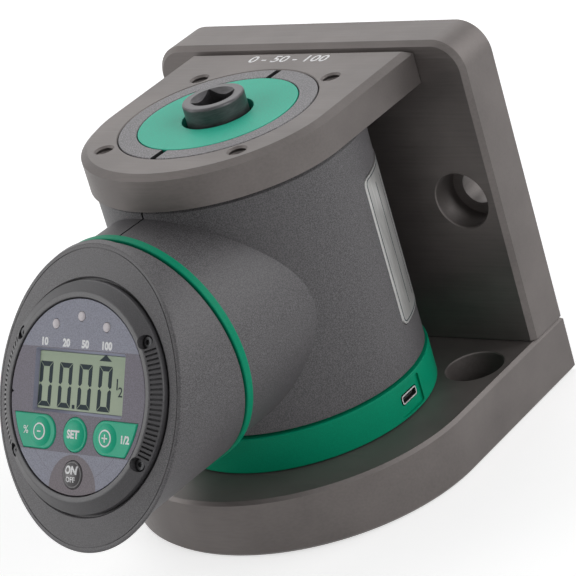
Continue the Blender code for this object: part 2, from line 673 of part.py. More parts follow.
def housing_solid():
    """The column, its spigot in the top plate and the neck, hollowed out."""
    foot = HOUSING_FOOT_Z
    roof = SHOULDER_Z - COLUMN_WALL
    chamfer = COLUMN_SHOULDER_CHAMFER
    inner = COLUMN_RADIUS - COLUMN_WALL
    profile = [(0, foot), (COLUMN_RADIUS, foot), (COLUMN_RADIUS, SHOULDER_Z - chamfer),
               (COLUMN_RADIUS - chamfer, SHOULDER_Z), (SPIGOT_RADIUS, SHOULDER_Z), (SPIGOT_RADIUS, TOP_Z),
               (0, TOP_Z)]
    outer = turned_column("housing", profile)
    combine(outer, moved(cylinder("neck", NECK_RADIUS, 0.0, NECK_END, ROUND), neck_frame()), "UNION")
    profile = [(0, foot - PAST), (inner, foot - PAST), (inner, roof), (COLLAR_SEAT_RADIUS, roof),
               (COLLAR_SEAT_RADIUS, DISC_SEAT_Z), (SPIGOT_INNER_RADIUS, DISC_SEAT_Z),
               (SPIGOT_INNER_RADIUS, TOP_Z + PAST), (0, TOP_Z + PAST)]
    bore = turned_column("bore", profile)
    neck_bore = moved(cylinder("neck_bore", NECK_BORE_RADIUS, 0.0, NECK_END + PAST, ROUND), neck_frame())
    return cut(outer, bore, neck_bore)


def label_blank(name, inner, outer, grow):
    """A curved plate with round corners, between two radii of the column."""
    width = 2 * COLUMN_RADIUS * sin(LABEL_SPAN / 2) + 2 * grow
    low = HOUSING_FOOT_Z + LABEL_FOOT_MARGIN
    high = SHOULDER_Z - LABEL_SHOULDER_MARGIN
    height = high - low + 2 * grow
    outline = rounded_box((0.0, 0.0), width, height, LABEL_CORNER + grow)
    blank = lofted(name, [(outline, COLUMN_RADIUS / 2), (outline, 2 * COLUMN_RADIUS)])
    upright = Matrix.Rotation(LABEL_MIDDLE + pi / 2, 4, "Z") @ Matrix.Rotation(pi / 2, 4, "X")
    moved(blank, Matrix.Translation((0, 0, (low + high) / 2)) @ upright)
    shell = turned_column("shell", [(inner, 0), (outer, 0), (outer, TOP_Z), (inner, TOP_Z)])
    return combine(blank, shell, "INTERSECT")


def housing_halves(pivot_empty, grey):
    """The housing split down its middle, with a slot at each end of the joint in the spigot."""
    whole = housing_solid()
    cut(whole, label_blank("pocket", COLUMN_RADIUS - LABEL_POCKET_DEPTH, COLUMN_RADIUS + PAST, GAP))
    for name, side in (("housing_left", -1), ("housing_right", 1)):
        half = bpy.data.objects.new(name, whole.data.copy())
        bpy.context.scene.collection.objects.link(half)
        other = sorted((side * GAP / 2, -side * FAR))
        cut(half, block("split", (other[0], -FAR, -FAR), (other[1], FAR, FAR)))
        slot = sorted((side * HOUSING_SLOT / 2, -side * PAST))
        for end in (-1, 1):
            ends = sorted((end * (SPIGOT_INNER_RADIUS - JUST_PAST), end * (TOP_BORE_RADIUS + PAST)))
            cut(half, block("slot", (slot[0], ends[0], TOP_BOTTOM_Z), (slot[1], ends[1], TOP_Z + PAST)))
        place(half, pivot_empty, Matrix(), grey)
    bpy.data.objects.remove(whole, do_unlink=True)


def top_disc(pivot_empty, green):
    bore = boss_radius() + DISC_BORE_CLEARANCE
    rim = SPIGOT_INNER_RADIUS - GAP
    low = TOP_Z - DISC_THICKNESS
    disc = turned("top_disc", [(bore, low), (rim, low), (rim, TOP_Z), (bore, TOP_Z)], ROUND)
    place(disc, pivot_empty, Matrix(), green)


def rating_plate(pivot_empty, silver):
    low = COLUMN_RADIUS - LABEL_POCKET_DEPTH + GAP
    place(label_blank("rating_plate", low, low + LABEL_THICKNESS, 0.0), pivot_empty, Matrix(), silver)


def neck_ring(pivot_empty, green):
    start, end = RING_START, RING_END
    hub = NECK_BORE_RADIUS - GAP
    inner = hub - RING_WALL
    profile = [(inner, start - RING_REAR_HUB), (hub, start - RING_REAR_HUB), (hub, start),
               (RING_RADIUS, start), (RING_RADIUS, end), (hub, end), (hub, end + RING_FRONT_HUB),
               (inner, end + RING_FRONT_HUB)]
    place(turned("neck_ring", profile, ROUND), pivot_empty, neck_frame(), green)


def face_frame():
    """Frame of the face in the head: Z is the face's normal, Y its slope upwards."""
    return Matrix.Translation((0, 0, FACE_DISTANCE)) @ Matrix.Rotation(-FACE_TILT, 4, "X")


def head_shell(pivot_empty, grey):
    bore = NECK_BORE_RADIUS
    inside = HEAD_START + HEAD_REAR_WALL
    end = FACE_DISTANCE + 2 * HEAD_RADIUS
    profile = [(bore, HEAD_START), (HEAD_RADIUS, HEAD_START), (HEAD_RADIUS, end), (HEAD_INNER_RADIUS, end),
               (HEAD_INNER_RADIUS, inside), (bore, inside)]
    shell = turned("head_shell", profile, ROUND)
    below = -FACE_RIM_THICKNESS - GAP
    cut(shell, moved(block("slope", (-FAR, -FAR, below), (FAR, FAR, FAR)), face_frame()))
    place(shell, pivot_empty, Matrix(), grey)


def face_ring(pivot_empty, grey):
    """A crowned ring round the display, trimmed to the head's own round outline."""
    rim = FACE_RIM_RADIUS
    reach = 2 * rim
    under = -FACE_RIM_THICKNESS
    lip_top = under + FACE_LIP_THICKNESS
    profile = [(FACE_LIP_RADIUS, under), (reach, under), (reach, 0.0), (rim + FACE_CROWN_OVERRUN, 0.0),
               (FACE_BORE_RADIUS, FACE_CROWN), (FACE_BORE_RADIUS, lip_top), (FACE_LIP_RADIUS, lip_top)]
    ring = moved(turned("face_ring", profile, ROUND), face_frame())
    trim = cylinder("trim", rim, 0.0, FACE_DISTANCE + reach, ROUND)
    combine(ring, trim, "INTERSECT")
    place(ring, pivot_empty, Matrix(), grey)


def grip_slots():
    """Two fans of slots in the bezel's cone, as one cutting tool."""
    slope = atan2(BEZEL_CONE_DROP, BEZEL_CONE_WIDTH)
    inner = BEZEL_RING_RADIUS + GRIP_SLOT_INNER_MARGIN
    outer = BEZEL_RADIUS - GRIP_SLOT_OUTER_MARGIN
    middle = (inner + outer) / 2
    height = BEZEL_TOP - tan(slope) * (middle - BEZEL_RING_RADIUS)
    length = (outer - inner) / cos(slope)
    bm = bmesh.new()
    for side in (0.0, pi):
        for i in range(GRIP_SLOT_COUNT):
            turn = side - GRIP_HALF_ANGLE + 2 * GRIP_HALF_ANGLE * i / (GRIP_SLOT_COUNT - 1)
            frame = (Matrix.Rotation(turn, 4, "Z") @ Matrix.Translation((middle, 0, height))
                     @ Matrix.Rotation(slope, 4, "Y")
                     @ Matrix.Diagonal((length, GRIP_SLOT_WIDTH, 2 * GRIP_SLOT_DEPTH, 1.0)))
            bmesh.ops.create_cube(bm, size=1.0, matrix=frame)
    return finish(bm, "grip_slots")


def bezel_screw_places():
    turns = [BEZEL_SCREW_ANGLE, pi - BEZEL_SCREW_ANGLE, pi + BEZEL_SCREW_ANGLE, -BEZEL_SCREW_ANGLE]
    circle_radius = BEZEL_RADIUS - BEZEL_SCREW_INSET
    return [(circle_radius * cos(turn), circle_radius * sin(turn)) for turn in turns]


def bezel_bottom():
    return -FACE_RIM_THICKNESS + FACE_LIP_THICKNESS + GAP


def bezel(pivot_empty, grey):
    low = bezel_bottom()
    profile = [(BEZEL_INNER_RADIUS, low), (BEZEL_RADIUS, low), (BEZEL_RADIUS, BEZEL_TOP - BEZEL_CONE_DROP),
               (BEZEL_RING_RADIUS, BEZEL_TOP), (WINDOW_RADIUS, BEZEL_TOP), (WINDOW_RADIUS, BEZEL_LEDGE),
               (BEZEL_INNER_RADIUS, BEZEL_LEDGE)]
    ring = cut(turned("bezel", profile, FINE), grip_slots())
    for x, y in bezel_screw_places():
        hole = counterbore("hole", BEZEL_SCREW_SHANK_RADIUS + GAP, BEZEL_COUNTERBORE_RADIUS,
                           BEZEL_TOP - BEZEL_COUNTERBORE_FLOOR, BEZEL_TOP - low + PAST, SMALL)
        cut(ring, moved(hole, Matrix.Translation((x, y, BEZEL_TOP))))
    place(ring, pivot_empty, Matrix(), grey)


def bezel_screws(pivot_empty, dark_steel):
    seat = BEZEL_COUNTERBORE_FLOOR + GAP
    for i, (x, y) in enumerate(bezel_screw_places()):
        screw = cap_screw(f"bezel_screw_{i + 1}", seat + BEZEL_SCREW_REACH, BEZEL_SCREW_HEAD_RADIUS,
                          BEZEL_SCREW_HEAD_HEIGHT, BEZEL_SCREW_SHANK_RADIUS, BEZEL_SCREW_SOCKET_WIDTH,
                          BEZEL_SCREW_SOCKET_DEPTH)
        place(screw, pivot_empty, Matrix.Translation((x, y, seat)), dark_steel)


def cup_inner_radius():
    return CUP_HUB_RADIUS - CUP_STEP - CUP_WALL


def display_cup(pivot_empty, black):
    """The cup that the bezel is screwed to; its rim hooks behind the face ring's lip."""
    body = CUP_HUB_RADIUS - CUP_STEP
    hub_top = bezel_bottom() - GAP
    rim_top = -FACE_RIM_THICKNESS - GAP
    rim_low = rim_top - CUP_RIM_THICKNESS
    inner = cup_inner_radius()
    floor = -CUP_BOTTOM + CUP_FLOOR
    profile = [(0, -CUP_BOTTOM), (body, -CUP_BOTTOM), (body, rim_low), (CUP_RIM_RADIUS, rim_low),
               (CUP_RIM_RADIUS, rim_top), (CUP_HUB_RADIUS, rim_top), (CUP_HUB_RADIUS, hub_top),
               (inner, hub_top), (inner, floor), (0, floor)]
    cup = turned("display_cup", profile, COARSE)
    for x, y in bezel_screw_places():
        hole = cylinder("hole", BEZEL_SCREW_SHANK_RADIUS + GAP, -BEZEL_SCREW_REACH - GAP, PAST, SMALL)
        cut(cup, moved(hole, Matrix.Translation((x, y, 0))))
    place(cup, pivot_empty, Matrix(), black)


def display_board(pivot_empty, board_green):
    radius = cup_inner_radius() - BOARD_CLEARANCE
    board = cylinder("display_board", radius, BOARD_TOP - BOARD_THICKNESS, BOARD_TOP, COARSE)
    place(board, pivot_empty, Matrix(), board_green)


def panel_top():
    return BEZEL_TOP - PANEL_RECESS


def panel_bottom():
    return panel_top() - PANEL_THICKNESS


def lcd_opening(low, high):
    """The sloped opening over the liquid crystal glass."""
    draft = LCD_OPENING_DRAFT
    middle = (LCD_CENTRE_X, LCD_CENTRE_Y)
    wide = rounded_box(middle, LCD_OPENING_WIDTH, LCD_OPENING_HEIGHT, draft, SHARP_CORNER_STEPS)
    narrow = rounded_box(middle, LCD_OPENING_WIDTH - 2 * draft, LCD_OPENING_HEIGHT - 2 * draft,
                         draft / 2, SHARP_CORNER_STEPS)
    return lofted("opening", [(narrow, low - PAST), (narrow, low), (wide, high), (wide, high + PAST)])


def key_row_y():
    """The row of three keys lies just under the opening over the display."""
    return LCD_CENTRE_Y - LCD_OPENING_HEIGHT / 2 - KEY_ROW_DROP - KEY_RADIUS


def side_key_x():
    return 2 * KEY_RADIUS + KEY_WEB


def side_key_outline(side, inset):
    """A round key that runs on outwards to the panel's edge; side is -1 for the left one."""
    row = key_row_y()
    radius = KEY_RADIUS - inset
    reach = WINDOW_RADIUS - KEY_RIM_MARGIN - inset
    inner = arc((side_key_x(), row), radius, 1.5 * pi, 0.5 * pi, COARSE // 2)
    ends = [asin((row + radius) / reach), asin((row - radius) / reach)]
    outer = arc((0.0, 0.0), reach, *ends, COARSE // 4)
    return [(side * x, y) for x, y in inner + outer]


def key_outlines():
    """Each key's name, with its outline as a function of how far it is drawn in, and its post."""
    mode = (LCD_CENTRE_X, key_row_y())
    clear = (LCD_CENTRE_X, CLEAR_KEY_INSET - WINDOW_RADIUS)
    return {
        "key_minus": (lambda inset: side_key_outline(-1, inset), (-side_key_x(), key_row_y())),
        "key_plus": (lambda inset: side_key_outline(1, inset), (side_key_x(), key_row_y())),
        "key_mode": (lambda inset: circle(KEY_RADIUS - inset, COARSE, mode), mode),
        "key_clear": (lambda inset: circle(CLEAR_KEY_RADIUS - inset, COARSE, clear), clear),
    }


def light_places():
    """The lights stand on an arc above the display."""
    radius = WINDOW_RADIUS - LIGHT_INSET
    return [(radius * sin(turn), radius * cos(turn)) for turn in (-LIGHT_SPREAD, 0.0, LIGHT_SPREAD)]


def front_panel(pivot_empty, blue_grey):
    low, high = panel_bottom(), panel_top()
    panel = cylinder("front_panel", PANEL_RADIUS, low, high, FINE)
    cut(panel, lcd_opening(low, high))
    for x, y in light_places():
        hole = cylinder("hole", LIGHT_RADIUS + GAP, low - PAST, high + PAST, SMALL)
        cut(panel, moved(hole, Matrix.Translation((x, y, 0))))
    for outline, _ in key_outlines().values():
        cut(panel, lofted("hole", [(outline(-GAP), low - PAST), (outline(-GAP), high + PAST)]))
    outside = -PANEL_RADIUS - PANEL_NOTCH
    notch = [(outside, PANEL_NOTCH), (outside, -PANEL_NOTCH), (PANEL_NOTCH - PANEL_RADIUS, 0.0)]
    cut(panel, lofted("notch", [(notch, low - PAST), (notch, high + PAST)]))
    place(panel, pivot_empty, Matrix(), blue_grey)


def lcd_module(pivot_empty, glass):
    top = panel_bottom() - GAP
    half = Vector((LCD_OPENING_WIDTH / 2 + LCD_BORDER, LCD_OPENING_HEIGHT / 2 + LCD_BORDER, 0))
    centre = Vector((LCD_CENTRE_X, LCD_CENTRE_Y, 0))
    module = block("lcd_module", centre - half + Vector((0, 0, top - LCD_THICKNESS)),
                   centre + half + Vector((0, 0, top)))
    place(module, pivot_empty, Matrix(), glass)


def status_lights(pivot_empty, clear):
    edge = LIGHT_PROUD / 2
    high = panel_top() + LIGHT_PROUD
    low = BOARD_TOP + GAP
    profile = [(0, low), (LIGHT_RADIUS, low), (LIGHT_RADIUS, high - edge), (LIGHT_RADIUS - edge, high),
               (0, high)]
    for i, (x, y) in enumerate(light_places()):
        light = turned(f"status_light_{i + 1}", profile, SMALL)
        place(light, pivot_empty, Matrix.Translation((x, y, 0)), clear)


def keys(pivot_empty, green, dark):
    top = panel_top() + KEY_PROUD
    stem_low = BOARD_TOP + KEY_POST_CLEARANCE
    for name, (outline, post) in key_outlines().items():
        key = lofted(name, [(outline(0.0), KEY_BOTTOM), (outline(0.0), top - KEY_EDGE),
                            (outline(KEY_EDGE), top)])
        stem = cylinder("stem", KEY_POST_RADIUS, stem_low, KEY_BOTTOM + JUST_PAST, SMALL)
        combine(key, moved(stem, Matrix.Translation((*post, 0))), "UNION")
        place(key, pivot_empty, Matrix(), dark if name == "key_clear" else green)


def main():
    remove_old_objects()
    steel = material("ground_steel", (0.27, 0.25, 0.245), 0.42, 0.9)
    dark_steel = material("blackened_steel", (0.05, 0.05, 0.052), 0.4, 0.8)
    bright_steel = material("bright_steel", (0.55, 0.55, 0.56), 0.28, 1.0)
    grey = material("grey_plastic", (0.105, 0.10, 0.102), 0.6)
    green = material("green_plastic", (0.0, 0.33, 0.22), 0.5)
    black = material("black_plastic", (0.015, 0.015, 0.016), 0.5)
    silver = material("silver_plate", (0.6, 0.6, 0.6), 0.35, 0.8)
    blue_grey = material("panel_film", (0.20, 0.205, 0.24), 0.5)
    glass = material("lcd_glass", (0.40, 0.48, 0.36), 0.2)
    clear = material("light_lens", (0.8, 0.72, 0.76), 0.3)
    board_green = material("board_green", (0.02, 0.16, 0.07), 0.5)

    bottom_plate(steel)
    back_plate(steel)
    top_plate(steel)
    bracket_screws(dark_steel)
    measuring_shaft(bright_steel)
    base_band(green)
    data_socket(bright_steel, black)

    housing_pivot = pivot("housing_pivot", None, Matrix.Rotation(HOUSING_TURN, 4, "Z"))
    housing_halves(housing_pivot, grey)
    top_disc(housing_pivot, green)
    rating_plate(housing_pivot, silver)
    neck_ring(housing_pivot, green)

    head_pivot = pivot("head_pivot", housing_pivot, neck_frame() @ Matrix.Rotation(HEAD_TURN, 4, "Z"))
    head_shell(head_pivot, grey)
    face_ring(head_pivot, grey)

    display_pivot = pivot("display_pivot", head_pivot, face_frame() @ Matrix.Rotation(DISPLAY_TURN, 4, "Z"))
    bezel(display_pivot, grey)
    bezel_screws(display_pivot, dark_steel)
    display_cup(display_pivot, black)
    display_board(display_pivot, board_green)
    front_panel(display_pivot, blue_grey)
    lcd_module(display_pivot, glass)
    status_lights(display_pivot, clear)
    keys(display_pivot, green, black)


main()
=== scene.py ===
"""Looks of the torque wrench tester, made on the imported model's frame.

Sizes are in metres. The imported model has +Z up and the display towards -Y. Pieces of the display are
made in the display's own frame: X to the right of its rows, Y up its face and Z out of the face plane.
"""
import json
from math import asin, atan2, cos, hypot, inf, pi, radians, sin, sqrt, tan

import bmesh
import bpy
from mathutils import Matrix, Quaternion, Vector


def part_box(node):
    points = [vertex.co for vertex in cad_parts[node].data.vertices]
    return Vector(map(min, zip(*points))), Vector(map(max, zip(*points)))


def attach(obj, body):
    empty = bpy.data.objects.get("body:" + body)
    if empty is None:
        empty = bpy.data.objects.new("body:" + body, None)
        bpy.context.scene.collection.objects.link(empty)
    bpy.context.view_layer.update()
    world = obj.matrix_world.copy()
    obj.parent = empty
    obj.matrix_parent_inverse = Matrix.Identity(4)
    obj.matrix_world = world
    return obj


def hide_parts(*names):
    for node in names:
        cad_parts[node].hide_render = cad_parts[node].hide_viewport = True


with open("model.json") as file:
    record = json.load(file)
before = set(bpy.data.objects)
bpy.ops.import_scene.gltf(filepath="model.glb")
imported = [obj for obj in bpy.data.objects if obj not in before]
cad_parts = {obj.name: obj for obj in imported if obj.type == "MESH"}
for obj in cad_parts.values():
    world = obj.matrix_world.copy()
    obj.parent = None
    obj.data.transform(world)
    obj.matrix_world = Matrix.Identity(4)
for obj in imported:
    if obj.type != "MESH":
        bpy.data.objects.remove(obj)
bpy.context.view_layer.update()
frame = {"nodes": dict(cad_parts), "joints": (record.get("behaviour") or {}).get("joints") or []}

# Camera, set to the photograph's view
CAMERA_TARGET = Vector((-0.00923, 0.01837, 0.04730))
CAMERA_DISTANCE = 0.9131
CAMERA_AZIMUTH = radians(40.9675)
CAMERA_ELEVATION = radians(22.8765)
CAMERA_ROLL = radians(-16.5505)
CAMERA_LENS = 189.478
CAMERA_SENSOR = 36.0
CLIP_NEAR = 0.05
CLIP_FAR = 50.0

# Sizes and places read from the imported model
JOINTS = {joint["name"]: joint for joint in frame["joints"]}
FACE_PLACE = Vector(JOINTS["display_turn"]["pos_m"])
BOTTOM_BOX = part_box("bottom_plate")
BACK_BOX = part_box("back_plate")
TOP_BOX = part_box("top_plate")
BAND_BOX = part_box("base_band")
SHAFT_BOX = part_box("measuring_shaft")
NECK_AXIS_Z = FACE_PLACE.z
FACE_DISTANCE = hypot(FACE_PLACE.x, FACE_PLACE.y)
BOTTOM_THICKNESS = BOTTOM_BOX[1].z
PLATE_HALF_WIDTH = BOTTOM_BOX[1].x
REAR_Y = BOTTOM_BOX[1].y
BACK_FRONT_Y = BACK_BOX[0].y
TOP_LOW_Z = TOP_BOX[0].z
TOP_Z = TOP_BOX[1].z
TOP_HALF_WIDTH = TOP_BOX[1].x
BAND_RADIUS = BAND_BOX[1].x

# Clearance between pieces, and the width of the housing's seam
GAP = 0.0003
SEAM = 0.0006

# Turned pieces about the measuring shaft
COLUMN_RADIUS = 0.0401
COLUMN_WALL = 0.0031
SHOULDER_CHAMFER = 0.0008
HOUSING_FOOT_Z = BAND_BOX[1].z + GAP
SHOULDER_Z = TOP_LOW_Z - 2 * GAP
SPIGOT_RADIUS = 0.0297
SPIGOT_INNER_RADIUS = 0.0242
COLLAR_SEAT_RADIUS = 0.0215
TOP_BORE_RADIUS = 0.030
DISC_THICKNESS = 0.003
DISC_BORE_RADIUS = 0.0107
SLIT_WIDTH = 0.0021
DISC_EASE = 0.0002
HOUSING_EDGE = 0.0002
BOSS_RADIUS = 0.00925
SOCKET_HALF = 0.0048
SOCKET_DEPTH = 0.0135
SOCKET_CORNER = 0.0005
LEAD_IN_RADIUS = 0.0066
LEAD_IN_DEPTH = 0.0016

# Measuring shaft, heights from its foot
SHAFT_FLANGE_RADIUS = 0.029
SHAFT_FLANGE_TOP = 0.008
SHAFT_FOOT_RADIUS = 0.016
SHAFT_FOOT_TOP = 0.0197
SHAFT_WAIST_RADIUS = 0.011
SHAFT_WAIST_LOW = 0.0277
SHAFT_WAIST_TOP = 0.0617
SHAFT_COLLAR_LOW = 0.0737
SHAFT_COLLAR_TOP = 0.0902
SHAFT_EASE = 0.0008

# Neck, ring and head, about the neck's axis
HOUSING_TURN = radians(-3.8)
HEAD_TURN = radians(6.5)
NECK_RADIUS = 0.035
NECK_BORE_RADIUS = 0.0319
NECK_END = 0.0519
RING_RADIUS = 0.0363
RING_WIDTH = 0.0027
RING_INNER_RADIUS = 0.0270
RING_REAR_HUB = 0.006
RING_FRONT_HUB = 0.003
RING_EASE = 0.0005
HEAD_START = 0.0552
HEAD_RADIUS = 0.03575
HEAD_INNER_RADIUS = 0.0332
HEAD_REAR_WALL = 0.003
HEAD_EDGE = 0.0003

# Face ring, from the face plane
FACE_TILT = radians(30.4)
FACE_RIM_RADIUS = 0.0369
FACE_RIM_THICKNESS = 0.0016
FACE_BORE_RADIUS = 0.0330
FACE_CROWN = 0.0011
FACE_CROWN_REACH = 0.0385
FACE_LIP_RADIUS = 0.0319
FACE_LIP_TOP = -0.0001
FACE_GROOVE_INSET = 0.0011
FACE_GROOVE_WIDTH = 0.00022
FACE_GROOVE_DEPTH = 0.00022
FACE_EDGE = 0.00035
FACE_EDGE_SHARE = 0.3
RIM_ROUNDS = 6

# Display, from the face plane
DISPLAY_TURN = radians(-4.8)
BEZEL_TOP = 0.0046
BEZEL_LOW = 0.0002
BEZEL_RADIUS = 0.0324
BEZEL_RING_RADIUS = 0.0290
BEZEL_CONE_DROP = 0.0023
BEZEL_LEDGE = 0.0020
BEZEL_EASE = 0.0004
WINDOW_RADIUS = 0.0274
BEZEL_INNER_RADIUS = 0.0260
GRIP_SLOT_COUNT = 23
GRIP_HALF_ANGLE = radians(28.0)
GRIP_SLOT_WIDTH = 0.0006
GRIP_SLOT_DEPTH = 0.0009
GRIP_SLOT_INNER = 0.0293
GRIP_SLOT_OUTER = 0.0321
SCREW_CIRCLE = 0.0300
SCREW_ANGLE = radians(33.4)
SCREW_COUNTERBORE = 0.0020
SCREW_FLOOR = 0.0012
SCREW_HEAD_RADIUS = 0.0016
SCREW_HEAD_HEIGHT = 0.0011
SCREW_SOCKET_WIDTH = 0.0014
SCREW_SOCKET_DEPTH = 0.0006
SCREW_SHANK_RADIUS = 0.0008
SCREW_REACH = 0.0026
SCREW_EASE = 0.00015
PANEL_TOP = 0.0042
PANEL_LOW = 0.0023
PANEL_NOTCH = 0.0011
PANEL_CENTRE_X = 0.0003
PANEL_EDGE = 0.0001
FILM_BAND_LOW = -0.0156
FILM_BAND_HIGH = 0.0131
FILM_ARC_Y = -0.0030
FILM_ARC_INNER = 0.02025
FILM_ARC_OUTER = 0.02040

# Liquid crystal display
LCD_CENTRE = (PANEL_CENTRE_X, 0.0040)
LCD_WIDTH = 0.0364
LCD_HEIGHT = 0.0176
LCD_DRAFT = 0.0007
LCD_SHELF = 0.0020
LCD_TOP = 0.0032
LCD_MARGIN = 0.003
LCD_CORNER = 0.0006
# Heights over which the display's painted shading runs, from lighter at its foot to darker above
LCD_SHADE_LOW = -0.005
LCD_SHADE_HIGH = 0.013
DIGIT_COUNT = 4
DIGIT_PITCH = 0.00804
DIGIT_WIDTH = 0.0053
DIGIT_HEIGHT = 0.0125
DIGIT_STROKE = 0.0014
DIGIT_BREAK = 0.00013
DIGIT_LEAN = 0.025
FIRST_DIGIT_X = -0.01705
DIGIT_FOOT_Y = -0.0034
POINT_SIDE = 0.0011
POINTER = ((0.0071, 0.0104), (0.0122, 0.0104), (0.0097, 0.0122))
SMALL_NUMBERS = (("1", 0.0044, (0.0148, 0.0042)), ("2", 0.0038, (0.0162, 0.0022)))

# Keys and lights
KEY_RADIUS = 0.0048
KEY_ROW_Y = -0.0104
KEY_SIDE_X = 0.0124
KEY_REACH = 0.0256
KEY_LOW = 0.0026
KEY_EDGE = 0.0003
KEY_RISE = 0.0003
KEY_FACETS = 64
DOME_RADIUS = 0.0041
DOME_HEIGHT = 0.0007
DOME_POWER = 3
DOME_STEPS = 14
MINUS_DOME_SHIFT = 0.0012
PLUS_DOME_SHIFT = 0.0008
CLEAR_KEY_Y = -0.0214
CLEAR_KEY_RADIUS = 0.0039
CLEAR_DOME_RADIUS = CLEAR_KEY_RADIUS - 2 * KEY_EDGE
CLEAR_ZONE_Y = -0.0254
CLEAR_ZONE_RADIUS = 0.0095
LIGHT_RADIUS = 0.00135
LIGHT_CIRCLE = 0.0222
LIGHT_SPREAD = radians(27.6)
LIGHT_DEPTH = 0.002
LIGHT_PROUD = 0.0001
LIGHT_DOME = 0.0003
LIGHT_STEPS = 6

# Printed marks; a weight is a share of the letters' size
PRINT_THICKNESS = 0.00003
PRINT_CELL = 0.0004
BOLD = 0.045
RANGE_SIZE = 0.0061
RANGE_Y = 0.0372
STEP_SIZE = 0.0029
STEP_Y = 0.0145
STEP_PLACES = {"10": -0.0146, "20": -0.0056, "50": 0.0021, "100": 0.0107}
SET_SIZE = 0.0031
ON_SIZE = 0.0030
ON_RISE = 0.0012
OFF_SIZE = 0.0021
OFF_DROP = 0.0014
PERCENT_SIZE = 0.0031
PERCENT_X = -0.0198
HALF_SIZE = 0.0029
HALF_X = 0.0204
SIGN_RADIUS = 0.0024
SIGN_STROKE = 0.00042
MINUS_LENGTH = 0.0015
PLUS_LENGTH = 0.0022

# Rating plate on the column
LABEL_MIDDLE = radians(33.3)
LABEL_SPAN = radians(40.0)
LABEL_LOW_Z = 0.0424
LABEL_HIGH_Z = 0.0895
LABEL_CORNER = 0.0024
LABEL_POCKET_DEPTH = 0.0005
LABEL_THICKNESS = 0.0004
LABEL_RULE_COUNT = 3
LABEL_RULE_PITCH = radians(9.0)
LABEL_RULE_WIDTH = 0.0003
LABEL_MARGIN = 0.004
LABEL_BORDER_OUTER = 0.0007
LABEL_BORDER_INNER = 0.0010

# Base band, and the data socket in it
BAND_WALL = 0.0045
BAND_LIP = 0.0004
BAND_STEP = 0.0022
BAND_EASE = 0.0004
USB_CENTRE = Vector((0.0, -0.0004, 0.0237))
USB_RECESS = (0.0116, 0.0092)
USB_RECESS_DEPTH = 0.0010
USB_SIZE = (0.0076, 0.0028)
USB_WALL = 0.0004
USB_PROUD = 0.0002
USB_DEPTH = 0.0050
USB_RECESS_CORNER = 0.0008
USB_PORT_CORNER = 0.0009
USB_CORNER = 0.0008
USB_MOUTH_CORNER = 0.0005

# Plates
BOTTOM_CHAMFER = 0.001
BACK_CORNER = 0.010
BACK_FRONT_CHAMFER = 0.0015
BACK_REAR_CHAMFER = 0.0008
TOP_CHAMFER_WIDTH = 0.0022
TOP_CHAMFER_DEPTH = 0.0015
TAPPED_PLACE = 0.02418
TAPPED_RADIUS = 0.0025
TAPPED_MOUTH = 0.0031
THREAD_PITCH = 0.001
THREAD_DEPTH = 0.0004
MOUNT_BORE = 0.0055
MOUNT_COUNTERBORE = 0.00885
MOUNT_DEPTH = 0.010
MOUTH_EDGE = 0.0003
BOTTOM_MOUNT = (0.0443, 0.0276)
BACK_MOUNT = (0.0435, 0.0647)
CAP_SHANK_RADIUS = 0.003
CAP_HEAD_RADIUS = 0.005
CAP_SEAT = 0.006
PLATE_SCREW_PITCH = 0.040
TOP_SCREW_PITCH = 0.050
SHAFT_SCREW_CIRCLE = 0.022

# Facets round a full turn
FINE = 192
ROUND = 96
SMALL = 48

# Overrun of cuts
PAST = 0.002
FAR = 0.2

# Limits in making and shading meshes: lengths, a share of an edge, and cosines
MERGE_DISTANCE = 1e-7
CUT_DISTANCE = 1e-8
ON_AXIS = 1e-6
EASE_SHARE = 0.45
ACROSS_LIMIT = 0.07
OUTWARDS_LEAST = 0.05
STRAIGHT_LIMIT = 0.03
SQUARE_TO_AXIS = 0.999
UPWARD = 0.99


def at(x, y, z):
    """The frame of a place."""
    return Matrix.Translation((x, y, z))


# Frames of the pieces that turn
UPRIGHT = Matrix.Rotation(pi / 2, 4, "X")
HOUSING = Matrix.Rotation(HOUSING_TURN, 4, "Z")
NECK_LOCAL = at(0, 0, NECK_AXIS_Z) @ UPRIGHT
NECK = HOUSING @ NECK_LOCAL
HEAD = NECK @ Matrix.Rotation(HEAD_TURN, 4, "Z")
FACE_LOCAL = at(0, 0, FACE_DISTANCE) @ Matrix.Rotation(-FACE_TILT, 4, "X")
DISPLAY = HEAD @ FACE_LOCAL @ Matrix.Rotation(DISPLAY_TURN, 4, "Z")


# Materials

def new_material(name, colour, roughness, metallic=0.0, gloss=0.45):
    made = bpy.data.materials.new(name)
    made.use_nodes = True
    shader = made.node_tree.nodes["Principled BSDF"]
    shader.inputs["Base Color"].default_value = (*colour, 1.0)
    shader.inputs["Roughness"].default_value = roughness
    shader.inputs["Metallic"].default_value = metallic
    shader.inputs["Specular IOR Level"].default_value = gloss
    return made


def node(tree, kind, inputs=None, **settings):
    """Adds a shader node; an input is a value, or another node's output to link."""
    new = tree.nodes.new("ShaderNode" + kind)
    for name, value in settings.items():
        setattr(new, name, value)
    for name, value in (inputs or {}).items():
        if isinstance(value, bpy.types.NodeSocket):
            tree.links.new(value, new.inputs[name])
        else:
            new.inputs[name].default_value = value
    return new


def grain(tree, scale, detail=2.0, stretch=(1.0, 1.0, 1.0)):
    """Noise in the piece's own coordinates, with so many cells to a metre."""
    place = node(tree, "TexCoord").outputs["Object"]
    mapping = node(tree, "Mapping", {"Vector": place, "Scale": stretch})
    noise = node(tree, "TexNoise",
                 {"Vector": mapping.outputs["Vector"], "Scale": scale, "Detail": detail})
    return noise.outputs["Fac"]


